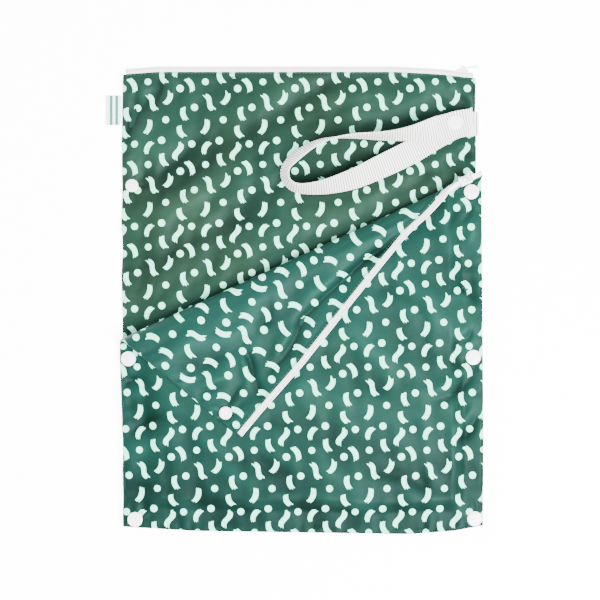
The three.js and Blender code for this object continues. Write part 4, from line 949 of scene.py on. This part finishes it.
def chain_coil(prefix, frames, material):
    """The coil: a squared round core that narrows at every second tooth."""
    near = TAPE_OUTSIDE + CHAIN_GAP / 2
    far = TAPE_OUTSIDE + CHAIN_GAP + CHAIN_THICK
    mid = (near + far) / 2
    centre = rolled(frames, mid, 0.0)
    out_axis = unit(rolled(frames, far, 0.0) - rolled(frames, near, 0.0))
    side_axis = unit(rolled(frames, mid, 1.0) - centre)
    run = run_along(centre)
    steps = np.arange(0, run[-1], COIL_PITCH / 3)
    centre, out_axis, side_axis = (sample(values, run, steps) for values in (centre, out_axis, side_axis))
    tooth = 1 - 0.32 * (0.5 - 0.5 * np.cos(2 * np.pi * steps / (2 * COIL_PITCH))) ** 2
    loops = []
    for turn in np.arange(12) * 2 * math.pi / 12:
        c, s = math.cos(turn), math.sin(turn)
        squared = (abs(c) ** 3 + abs(s) ** 3) ** (-1 / 3)
        across = CHAIN_WIDTH / 2 * 0.96 * s * squared
        depth = CHAIN_THICK / 2 * c * squared
        loops.append(centre + side_axis * across + out_axis * (depth * tooth)[:, None])
    mesh = ribbon(f"{prefix}_chain", np.array(loops).transpose(1, 0, 2))
    add_piece(f"{prefix}_zip_coil", mesh, material, f"{prefix}_zip_chain")


def stitch_mesh(name, starts, ends, normals):
    """Thread stitches from each start to its end, sunk a little at both ends."""
    points, faces = [], []
    ring, spans = 6, 5
    for start, end, normal in zip(starts, ends, normals):
        run = end - start
        length = np.linalg.norm(run)
        run = run / length
        beside = np.cross(run, normal)
        base = len(points)
        for k in range(spans):
            share = k / (spans - 1)
            swell = math.sin(math.pi * share)
            radius = STITCH_THICK / 2 * (0.55 + 0.45 * swell)
            middle = start + run * length * share + normal * (swell * 0.16 - 0.06)
            for m in range(ring):
                turn = 2 * math.pi * m / ring
                points.append(middle + beside * radius * math.cos(turn) + normal * radius * math.sin(turn))
        for k in range(spans - 1):
            for m in range(ring):
                a = base + k * ring + m
                b = base + k * ring + (m + 1) % ring
                faces.append([a, b, b + ring, a + ring])
        faces.append([base + m for m in range(ring)][::-1])
        faces.append([base + (spans - 1) * ring + m for m in range(ring)])
    return mesh_from(name, points, faces)


def stitch_line(name, path, normals, material):
    """Stitches along a line of points with normals, at an even pitch."""
    run = run_along(path)
    begin = np.arange(0.5, run[-1] - STITCH_LENGTH, STITCH_LENGTH + STITCH_SPACE)
    starts, ends = sample(path, run, begin), sample(path, run, begin + STITCH_LENGTH)
    mesh = stitch_mesh(name, starts, ends, unit(sample(normals, run, begin)))
    add_piece(name, mesh, material)


# Snaps, turned on a lathe at the places of the solids

CAP_PROFILE = [(0.0, 0.0), (5.6, 0.0), (6.05, 0.12), (6.2, 0.45), (6.1, 0.75), (5.75, 0.98), (5.1, 1.13),
               (3.6, 1.24), (1.8, 1.29), (0.0, 1.3)]
STUD_PROFILE = [(0.0, 0.0), (5.1, 0.0), (5.3, 0.2), (5.3, 0.6), (5.05, 0.8), (3.3, 0.84), (2.75, 0.9),
                (2.65, 1.3), (2.9, 1.8), (2.85, 2.05), (2.55, 2.2), (1.7, 2.2), (1.35, 2.05), (1.1, 1.75),
                (0.0, 1.7)]
SOCKET_PROFILE = [(0.0, 0.0), (5.1, 0.0), (5.3, 0.2), (5.3, 0.9), (5.15, 1.5), (4.75, 1.85), (4.2, 2.0),
                  (3.35, 2.0), (3.05, 1.9), (3.15, 1.4), (3.05, 0.95), (2.5, 0.8), (1.5, 0.82), (1.2, 1.0),
                  (0.0, 1.05)]
SNAP_ROUND = 56


def lathe_mesh(name, profile, x, y, z, way):
    """The profile, which starts and ends on the axis, turned about an upright axis;
    way is -1 for upside down."""
    points, faces = [], []
    for r, h in profile:
        for k in range(SNAP_ROUND):
            turn = 2 * math.pi * k / SNAP_ROUND
            points.append((x + r * math.cos(turn), y + r * math.sin(turn), z + way * h))
    for j in range(len(profile) - 1):
        a, b = j * SNAP_ROUND, (j + 1) * SNAP_ROUND
        for k in range(SNAP_ROUND):
            n = (k + 1) % SNAP_ROUND
            faces.append([a + k, a + n, b + n, b + k])
    mesh = mesh_from(name, points, faces)
    edit_mesh(mesh, lambda edit: bmesh.ops.remove_doubles(edit, verts=edit.verts, dist=1e-6))
    return mesh


def snap_pieces():
    plastic = plastic_material("snap_plastic_white", WHITE_PLASTIC, 0.28)
    profiles = {"cap": CAP_PROFILE, "stud": STUD_PROFILE, "socket": SOCKET_PROFILE}
    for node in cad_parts:
        kind = next((k for k in profiles if k in node.split("_")), None)
        if kind is None:
            continue
        low, high = (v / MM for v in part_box(node))
        x, y = snap_centres(node)[0]
        upside_down = "back_cap" in node or node in ("cap_top_left", "socket_top_left")
        if kind == "cap":
            way = -1 if upside_down else 1
            z = low.z + CAP_THICK if upside_down else high.z - CAP_THICK
        elif kind == "stud":
            way, z = 1, low.z
        else:
            way = 1 if upside_down else -1
            z = low.z if upside_down else high.z
        mesh = lathe_mesh(node, profiles[kind], x, y, z, way)
        add_piece(f"{node}_turned", mesh, plastic, node)


# Wrist strap

STRAP_ROOT_X = float(max(big_side(1, STRAP_UP + way * STRAP_WIDTH / 2 / BIG_LENGTH) for way in (-1, 0, 1)))
STRAP_ROOT_Y = BIG_BOTTOM + STRAP_UP * BIG_LENGTH


def catmull(values, t):
    """The uniform Catmull-Rom curve through values, with mirrored ends."""
    values = np.asarray(values, float)
    padded = np.concatenate([[2 * values[0] - values[1]], values, [2 * values[-1] - values[-2]]])
    place = np.clip(t, 0, 1) * (len(values) - 1)
    k = np.minimum(place.astype(int), len(values) - 2)
    f = place - k
    a, b, c, d = (padded[k + n] for n in range(4))
    return 0.5 * (2 * b + (c - a) * f + (2 * a - 5 * b + 4 * c - d) * f**2 + (3 * b - a - 3 * c + d) * f**3)


def strap_line(count):
    t = np.linspace(0, 1, count)
    at = {name: catmull([row[name] for row in STRAP_ROUTE], t) for name in STRAP_ROUTE[0]}
    x = STRAP_ROOT_X - at["out"] * STRAP_REACH
    y = STRAP_ROOT_Y + at["across"] * STRAP_REACH
    return t, x, y, at


def strap_cover(x, y):
    """1 under the strap, 0 well away from it."""
    _, sx, sy, _ = strap_line(70)
    nearest = np.full(x.shape, FAR)
    for px, py in zip(sx, sy):
        nearest = np.minimum(nearest, np.hypot(x - px, y - py))
    return ease(19, 12, nearest)


def strap_sections():
    """Middle, width direction and face normal for each section of the strap."""
    snap_x = STRAP_ROOT_X - STRAP_SNAP_INSET
    cap = float(big_top(snap_x - 6.2, STRAP_ROOT_Y)) + 2 * GAP
    lower = cap + CAP_THICK + GAP + STRAP_THICK / 2
    upper = lower + STRAP_THICK + 2 * GAP + SNAP_STACK
    seam_x = STRAP_ROOT_X + 2 * GAP + STRAP_THICK / 2
    seam_z = (LIFT + BIG_MARGIN_TOP) / 2
    top_z = BIG_MARGIN_TOP + GAP + STRAP_THICK / 2 + 1
    sections = [((seam_x, STRAP_ROOT_Y, seam_z - 1.2), (0, 1, 0), (1, 0, 0))]
    for turn in np.radians([0, 15, 30, 45, 60, 75, 90]):
        c, s = math.cos(turn), math.sin(turn)
        place = (seam_x - STRAP_BEND + STRAP_BEND * c, STRAP_ROOT_Y, top_z - STRAP_BEND + STRAP_BEND * s)
        sections.append((place, (0, 1, 0), (c, 0, s)))
    t, x, y, at = strap_line(260)
    near = ease(17, 10, np.abs(x - snap_x))
    roll = np.radians(at["roll"] + (np.where(t < 0.5, 0, 180) - at["roll"]) * near)
    heading = np.radians(at["heading"])
    sine, cosine = np.sin(roll), np.cos(roll)
    width = np.stack([np.sin(heading) * cosine, -np.cos(heading) * cosine, sine], -1)
    face = np.stack([-np.sin(heading) * sine, np.cos(heading) * sine, cosine], -1)
    stand = STRAP_WIDTH / 2 * np.abs(sine) + STRAP_THICK / 2 * np.abs(cosine)
    ground = np.maximum(big_top(x, y), BIG_MARGIN_TOP + 1)
    ground = np.maximum(ground, np.where(np.abs(sine) > 0.1, BIG_LOFT, 0))
    free = ground + GAP + stand + np.maximum(at["above"], 0)
    z = free + (np.where(t < 0.5, lower, upper) - free) * near
    for k in range(len(t)):
        sections.append(((x[k], y[k], z[k]), width[k], face[k]))
    return sections


def strap():
    sections = strap_sections()
    lines = [np.array([section[k] for section in sections], float) for k in range(3)]
    run = run_along(lines[0])
    steps = np.arange(0, run[-1], RIB_PITCH / 6)
    middle, width, face = (sample(values, run, steps) for values in lines)
    width, face = unit(width), unit(face)
    phase = 2 * math.pi * steps / RIB_PITCH
    rib = np.abs(np.cos(phase / 2)) ** 0.7
    half = STRAP_WIDTH / 2
    thick = STRAP_THICK / 2
    shares = [-1, -0.985, -0.95, -0.9, -0.86, -0.5, 0, 0.5, 0.86, 0.9, 0.95, 0.985, 1]
    rounding = [0.3, 0.62, 0.8, 0.84, 0.8, 1, 1, 1, 0.8, 0.84, 0.8, 0.62, 0.3]
    ribbed = [0, 0, 0, 0, 0.8, 1, 1, 1, 0.8, 0, 0, 0, 0]
    loops = []
    for way in (1, -1):
        order = range(len(shares)) if way > 0 else reversed(range(len(shares)))
        for k in order:
            depth = thick * rounding[k] - RIB_HEIGHT * (1 - rib) * ribbed[k] * 2
            loops.append(middle + width * (half * shares[k]) + face * (way * depth)[:, None])
    mesh = ribbon("strap_webbing", np.array(loops).transpose(1, 0, 2))
    add_piece("strap_webbing", mesh, webbing_material(), "strap")


# Side label: a plain folded tag, with two woven stripes and its root in the seam

def side_label():
    y = BIG_BOTTOM + LABEL_UP * BIG_LENGTH
    root = float(big_side(-1, LABEL_UP)) - GAP
    middle = (LIFT + BIG_MARGIN_TOP) / 2
    count = 26
    profile = []
    for way in (1, -1):
        shares = np.linspace(0, 1, count) if way > 0 else np.linspace(1, 0, count)
        for share in shares:
            lift = 0.4 * math.sqrt(max(1 - share**6, 0)) + 0.05
            profile.append((root - share * LABEL_LENGTH, middle + way * lift))
    widths = np.linspace(-LABEL_WIDTH / 2, LABEL_WIDTH / 2, 40)
    loops = []
    for w in widths:
        curl = 0.35 * math.sin(w * 0.19 + 0.6)
        loops.append([(px, y + w, pz + curl * (root - px) / LABEL_LENGTH) for px, pz in profile])
    mesh = ribbon("label_tag", np.array(loops))
    add_piece("label_tag", mesh, label_material(root), "side_label")


# Materials

class Nodes:
    """Short calls for making a node material."""

    def __init__(self, tree):
        self.tree = tree

    def add(self, kind, **settings):
        node = self.tree.nodes.new(kind)
        for name, value in settings.items():
            setattr(node, name, value)
        return node

    def math(self, operation, first, second=None, third=None):
        node = self.add("ShaderNodeMath", operation=operation)
        for socket, value in zip(node.inputs, (first, second, third)):
            self.put(socket, value)
        return node.outputs[0]

    def plus(self, first, second):
        return self.math("ADD", first, second)

    def minus(self, first, second):
        return self.math("SUBTRACT", first, second)

    def times(self, first, second):
        return self.math("MULTIPLY", first, second)

    def wave(self, along, pitch):
        return self.math("SINE", self.times(along, 2 * math.pi / pitch))

    def object_place(self):
        return self.add("ShaderNodeTexCoord").outputs["Object"]

    def cloth_place(self):
        return self.add("ShaderNodeUVMap", uv_map="cloth").outputs[0]

    def split(self, vector):
        node = self.add("ShaderNodeSeparateXYZ")
        self.put(node.inputs[0], vector)
        return node.outputs[0], node.outputs[1]

    def put(self, socket, value):
        if value is None:
            return
        if isinstance(value, bpy.types.NodeSocket):
            self.tree.links.new(value, socket)
        else:
            socket.default_value = value

    def mix(self, factor, first, second):
        node = self.add("ShaderNodeMix", data_type="RGBA")
        self.put(node.inputs[0], factor)
        self.put(node.inputs[6], first)
        self.put(node.inputs[7], second)
        return node.outputs[2]

    def noise(self, vector, scale, detail):
        node = self.add("ShaderNodeTexNoise")
        self.put(node.inputs["Vector"], vector)
        node.inputs["Scale"].default_value = scale
        node.inputs["Detail"].default_value = detail
        return node.outputs["Fac"]

    def ramp(self, value, low, high):
        node = self.add("ShaderNodeMapRange", interpolation_type="SMOOTHSTEP")
        self.put(node.inputs["Value"], value)
        node.inputs["From Min"].default_value = low
        node.inputs["From Max"].default_value = high
        return node.outputs["Result"]

    def bump(self, height, strength, distance, normal=None):
        node = self.add("ShaderNodeBump")
        node.inputs["Strength"].default_value = strength
        node.inputs["Distance"].default_value = distance
        self.put(node.inputs["Height"], height)
        self.put(node.inputs["Normal"], normal)
        return node.outputs["Normal"]


def new_material(name):
    material = bpy.data.materials.new(name)
    material.use_nodes = True
    nodes = Nodes(material.node_tree)
    return material, nodes, material.node_tree.nodes["Principled BSDF"]


def stroke_group():
    """Mask of one motif of the print: a short bar with a bend or wave, rough at its
    ends, or a dot. The place is in millimetres within the repeat."""
    tree = bpy.data.node_groups.new("printed_stroke", "ShaderNodeTree")
    for name in ("Across", "Up", "Centre across", "Centre up", "Lean", "Length", "Bend", "Wave", "Rough"):
        tree.interface.new_socket(name, in_out="INPUT", socket_type="NodeSocketFloat")
    tree.interface.new_socket("Mask", in_out="OUTPUT", socket_type="NodeSocketFloat")
    nodes = Nodes(tree)
    given = nodes.add("NodeGroupInput").outputs
    result = nodes.add("NodeGroupOutput")
    half_w, half_h = PRINT_WIDTH / 2, PRINT_HEIGHT / 2
    dx = nodes.math("WRAP", nodes.minus(given["Across"], given["Centre across"]), half_w, -half_w)
    dy = nodes.math("WRAP", nodes.minus(given["Up"], given["Centre up"]), half_h, -half_h)
    cosine = nodes.math("COSINE", given["Lean"])
    sine = nodes.math("SINE", given["Lean"])
    along = nodes.plus(nodes.times(dy, cosine), nodes.times(dx, sine))
    beside = nodes.minus(nodes.times(dx, cosine), nodes.times(dy, sine))
    share = nodes.math("DIVIDE", along, given["Length"])
    bent = nodes.times(nodes.times(share, share), given["Bend"])
    waved = nodes.times(nodes.math("SINE", nodes.times(share, 2 * math.pi)), given["Wave"])
    beside = nodes.minus(beside, nodes.plus(bent, waved))
    place = nodes.add("ShaderNodeCombineXYZ")
    nodes.put(place.inputs[0], nodes.plus(beside, given["Centre across"]))
    nodes.put(place.inputs[1], nodes.times(along, 0.18))
    nodes.put(place.inputs[2], given["Centre up"])
    ragged = nodes.minus(nodes.noise(place.outputs[0], 0.85, 1.5), 0.5)
    ragged = nodes.times(ragged, given["Rough"])
    reach = nodes.plus(nodes.times(given["Length"], 0.5), nodes.times(ragged, 5.2))
    side_room = nodes.plus(nodes.times(ragged, 0.5), STROKE_WIDTH / 2)
    inside_ends = nodes.minus(reach, nodes.math("ABSOLUTE", along))
    inside_sides = nodes.minus(side_room, nodes.math("ABSOLUTE", beside))
    bar = nodes.math("MINIMUM", inside_ends, inside_sides)
    radius = nodes.math("SQRT", nodes.plus(nodes.times(dx, dx), nodes.times(dy, dy)))
    dot = nodes.minus(nodes.times(given["Length"], 0.5), radius)
    is_dot = nodes.math("LESS_THAN", given["Rough"], 0.05)
    depth = nodes.add("ShaderNodeMix", data_type="FLOAT")
    nodes.put(depth.inputs[0], is_dot)
    nodes.put(depth.inputs[2], bar)
    nodes.put(depth.inputs[3], dot)
    nodes.put(result.inputs[0], nodes.ramp(depth.outputs[0], -0.12, 0.16))
    return tree


# Painted shade: the cloth's colour is scaled by its depth in the folds, from the deepest up
SHADE_LOW = 0.3
SHADE_RANGE = 1.35

# The small pouch's front lies deeper in shade towards its bottom, as if it were this
# much lower, between two heights on the page
BOTTOM_DIMMING = 1.7
DIM_FROM = -60
DIM_TO = -175

SHAPES = {
    "dot": {"bend": 0.0, "wave": 0.0, "rough": 0.0},
    "bend": {"bend": 6.0, "wave": 0.0, "rough": 0.8},
    "arch": {"bend": -6.5, "wave": 0.0, "rough": 0.8},
    "wave": {"bend": 0.0, "wave": 1.05, "rough": 1.0},
}


def print_mask(nodes, across, up):
    """All motifs of the print at a place on the cloth, in millimetres."""
    group = bpy.data.node_groups.get("printed_stroke") or stroke_group()
    total = None
    for row in PRINT:
        shape = SHAPES[row["kind"]]
        node = nodes.add("ShaderNodeGroup", node_tree=group)
        nodes.put(node.inputs["Across"], across)
        nodes.put(node.inputs["Up"], up)
        values = {
            "Centre across": row["across"] * PRINT_WIDTH,
            "Centre up": row["up"] * PRINT_HEIGHT,
            "Lean": math.radians(-row["lean"]),
            "Length": row["length"],
            "Bend": shape["bend"],
            "Wave": shape["wave"],
            "Rough": shape["rough"],
        }
        for name, value in values.items():
            node.inputs[name].default_value = value
        mask = node.outputs[0]
        total = mask if total is None else nodes.math("MAXIMUM", total, mask)
    return total


def cloth_material(name, olive, warmth):
    """Smooth coated cloth: printed motifs, a fine weave, uneven dye, and painted shade:
    a colour that deepens in the valleys of the folds and lightens on their crests."""
    material, nodes, shader = new_material(name)
    uv = nodes.cloth_place()
    across, up = (nodes.times(distance, 1 / MM) for distance in nodes.split(uv))
    place = nodes.object_place()
    drift = nodes.ramp(nodes.noise(place, 14, 2), 0.35, 0.7)
    green = nodes.mix(nodes.times(drift, 0.55), linear(GREEN), linear(GREEN_DARK))
    warm = nodes.ramp(nodes.noise(place, 9, 1), 0.35, 0.65)
    green = nodes.mix(nodes.plus(nodes.times(warm, warmth), olive), green, linear(GREEN_OLIVE))
    # Painted shade from the depth attribute: darker in the folds' valleys, lighter on their crests
    depth = nodes.add("ShaderNodeAttribute", attribute_name="depth").outputs["Fac"]
    fold_shaded = nodes.add("ShaderNodeVectorMath", operation="SCALE")
    nodes.put(fold_shaded.inputs[0], green)
    nodes.put(fold_shaded.inputs["Scale"], nodes.plus(nodes.times(depth, SHADE_RANGE), SHADE_LOW))
    fibre = nodes.ramp(nodes.noise(uv, 2600, 2), 0.3, 0.75)
    ink = nodes.mix(fibre, linear(MINT), linear(MINT, 0.965))
    nodes.put(shader.inputs["Base Color"], nodes.mix(print_mask(nodes, across, up), fold_shaded.outputs[0], ink))
    weave = nodes.times(nodes.wave(across, WEAVE_PITCH), nodes.wave(up, WEAVE_PITCH))
    bumped = nodes.bump(weave, 0.12, 0.00006)
    bumped = nodes.bump(nodes.noise(place, 160, 3), 0.22, 0.0012, bumped)
    nodes.put(shader.inputs["Normal"], bumped)
    nodes.put(shader.inputs["Roughness"], nodes.plus(nodes.times(nodes.noise(place, 45, 2), 0.12), 0.4))
    shader.inputs["Specular IOR Level"].default_value = 0.075
    shader.inputs["Specular Tint"].default_value = (0.55, 1.0, 0.9, 1.0)
    return material


def plastic_material(name, colour, roughness):
    """Hard plastic with a trace of wear."""
    material, nodes, shader = new_material(name)
    place = nodes.object_place()
    worn = nodes.ramp(nodes.noise(place, 240, 3), 0.45, 0.8)
    shade = nodes.mix(nodes.times(worn, 0.25), linear(colour), linear(colour, 0.95))
    nodes.put(shader.inputs["Base Color"], shade)
    nodes.put(shader.inputs["Roughness"], nodes.plus(nodes.times(worn, 0.1), roughness))
    nodes.put(shader.inputs["Normal"], nodes.bump(nodes.noise(place, 700, 2), 0.08, 0.0002))
    shader.inputs["Subsurface Weight"].default_value = 0.08
    shader.inputs["Subsurface Scale"].default_value = 0.002
    return material


def woven_material(name, colour, pitch):
    """Woven tape: fine crossing threads across its own coordinates."""
    material, nodes, shader = new_material(name)
    along, around = nodes.split(nodes.cloth_place())
    weave = nodes.times(nodes.wave(along, pitch * MM), nodes.math("SINE", nodes.times(around, 90.0)))
    fuzz = nodes.noise(nodes.object_place(), 900, 3)
    height = nodes.plus(weave, nodes.times(fuzz, 0.8))
    nodes.put(shader.inputs["Normal"], nodes.bump(height, 0.45, 0.00012))
    shade = nodes.ramp(weave, -1.0, 0.6)
    nodes.put(shader.inputs["Base Color"], nodes.mix(shade, linear(colour, 0.9), linear(colour)))
    shader.inputs["Roughness"].default_value = 0.82
    shader.inputs["Sheen Weight"].default_value = 0.25
    return material


def webbing_material():
    """Ribbed webbing with fine threads along it, and painted shade between the ribs."""
    material, nodes, shader = new_material("webbing_white")
    along, around = nodes.split(nodes.cloth_place())
    rib = nodes.math("ABSOLUTE", nodes.math("COSINE", nodes.times(along, math.pi / (RIB_PITCH * MM))))
    threads = nodes.math("SINE", nodes.times(around, 2 * math.pi * 90))
    fuzz = nodes.noise(nodes.object_place(), 1200, 3)
    height = nodes.plus(nodes.times(threads, 0.5), fuzz)
    nodes.put(shader.inputs["Normal"], nodes.bump(height, 0.4, 0.00012))
    # Painted shade: the grooves between the ribs are coloured grey
    shade = nodes.ramp(rib, 0.16, 0.66)
    nodes.put(shader.inputs["Base Color"], nodes.mix(shade, linear(RIB_GROOVE_SHADE), linear(WHITE_CLOTH)))
    shader.inputs["Roughness"].default_value = 0.78
    shader.inputs["Sheen Weight"].default_value = 0.2
    return material


def label_material(root):
    """Woven label with plain stripes, counted from its root in the seam."""
    material, nodes, shader = new_material("label_woven")
    x, y = nodes.split(nodes.object_place())
    out = nodes.minus(root * MM, x)
    weave = nodes.times(nodes.wave(x, LABEL_WEAVE_PITCH * MM), nodes.wave(y, LABEL_WEAVE_PITCH * MM))
    bands = [nodes.math("COMPARE", out, at * MM, STRIPE_HALF * MM) for at in LABEL_STRIPES]
    stripes = nodes.math("MAXIMUM", *bands)
    nodes.put(shader.inputs["Base Color"], nodes.mix(stripes, linear(LABEL_WHITE), linear(TEAL)))
    nodes.put(shader.inputs["Normal"], nodes.bump(weave, 0.35, 0.0001))
    shader.inputs["Roughness"].default_value = 0.7
    return material


def thread_material(name, colour):
    """Sewing thread, lighter where its twist catches the light."""
    material, nodes, shader = new_material(name)
    twist = nodes.noise(nodes.object_place(), 2200, 2)
    shade = nodes.mix(nodes.ramp(twist, 0.35, 0.7), linear(colour), linear(colour, 1.5))
    nodes.put(shader.inputs["Base Color"], shade)
    nodes.put(shader.inputs["Normal"], nodes.bump(twist, 0.5, 0.0001))
    shader.inputs["Roughness"].default_value = 0.6
    return material


# Zips put together

def hem_stitches(prefix, frames, thread):
    """A row of stitches through each wall along a mouth."""
    outwards = unit(frames["middle"] - frames["before"])
    for way, label in ((1, "front"), (-1, "back")):
        wall = frames["before"] + frames["before_normal"] * (way * frames["half"])[:, None]
        normals = frames["before_normal"] * way
        path = wall + outwards * 0.1 + normals * 0.05
        stitch_line(f"{prefix}_{label}_hem_stitches", path, normals, thread)


def zips():
    tape_cloth = woven_material("zip_tape_white", WHITE_CLOTH, 0.9)
    coil = plastic_material("zip_coil_white", COIL_WHITE, 0.42)
    enamel = plastic_material("slider_white", WHITE_PLASTIC, 0.22)
    thread = thread_material("thread_green", THREAD_GREEN)
    for prefix, frames in (("big", zip_frames_big()), ("small", zip_frames_small())):
        tape(prefix, frames, 1, tape_cloth)
        tape(prefix, frames, -1, tape_cloth)
        chain_coil(prefix, frames, coil)
        hem_stitches(prefix, frames, thread)
        for part in ("slider", "pull"):
            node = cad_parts[f"{prefix}_zip_{part}"]
            node.data.materials.clear()
            node.data.materials.append(enamel)
            bevel = node.modifiers.new("round", "BEVEL")
            bevel.width = 0.28 * MM
            bevel.segments = 3
            bevel.limit_method = "ANGLE"
            node.modifiers.new("even", "WEIGHTED_NORMAL")


# Studio

FLOOR_REACH = 3.0
FLOOR_LEVEL = -0.0002
FLOOR_WHITE = (0.985, 0.985, 0.985)
FLOOR_SHADE = (0.975, 0.975, 0.975)
LAMPS = [
    {"name": "key", "place": (0.6, -0.55, 1.45), "size": 0.9, "energy": 168.0},
    {"name": "back", "place": (-1.0, 0.8, 0.8), "size": 0.5, "energy": 34.0},
]
LENS = 85
SENSOR = 36
VIEW_WIDTH = 0.501
CAMERA_PLACE = (-2.1 * MM, 1.25 * MM, VIEW_WIDTH * LENS / SENSOR + 0.008)


def studio():
    """A bright white floor, an even sky, and two soft lamps."""
    floor_mesh = bpy.data.meshes.new("floor")
    quarters = ((-1, -1), (1, -1), (1, 1), (-1, 1))
    corners = [(x * FLOOR_REACH, y * FLOOR_REACH, FLOOR_LEVEL) for x, y in quarters]
    floor_mesh.from_pydata(corners, [], [(0, 1, 2, 3)])
    floor = bpy.data.objects.new("floor", floor_mesh)
    bpy.context.scene.collection.objects.link(floor)
    material, nodes, shader = new_material("floor_white")
    uneven = nodes.noise(nodes.object_place(), 4, 1)
    white = nodes.mix(uneven, linear(FLOOR_WHITE), linear(FLOOR_SHADE))
    nodes.put(shader.inputs["Base Color"], white)
    shader.inputs["Roughness"].default_value = 0.9
    shader.inputs["Emission Color"].default_value = (1, 1, 1, 1)
    shader.inputs["Emission Strength"].default_value = 9.0
    floor_mesh.materials.append(material)
    world = bpy.data.worlds.new("studio")
    bpy.context.scene.world = world
    world.use_nodes = True
    back = world.node_tree.nodes["Background"]
    back.inputs["Color"].default_value = (1, 1, 1, 1)
    back.inputs["Strength"].default_value = 0.88
    for row in LAMPS:
        light = bpy.data.lights.new(row["name"], "AREA")
        light.size = row["size"]
        light.energy = row["energy"]
        lamp = bpy.data.objects.new(row["name"], light)
        bpy.context.scene.collection.objects.link(lamp)
        lamp.location = row["place"]
        lamp.rotation_euler = (-Vector(row["place"])).to_track_quat("-Z", "Y").to_euler()


def camera():
    """Straight above, so that the photo's middle and scale are met."""
    data = bpy.data.cameras.new("camera")
    data.lens = LENS
    data.sensor_width = SENSOR
    made = bpy.data.objects.new("camera", data)
    bpy.context.scene.collection.objects.link(made)
    made.location = CAMERA_PLACE
    bpy.context.scene.camera = made


big_pouch()
small_pouch()
zips()
snap_pieces()
strap()
side_label()
studio()
camera()
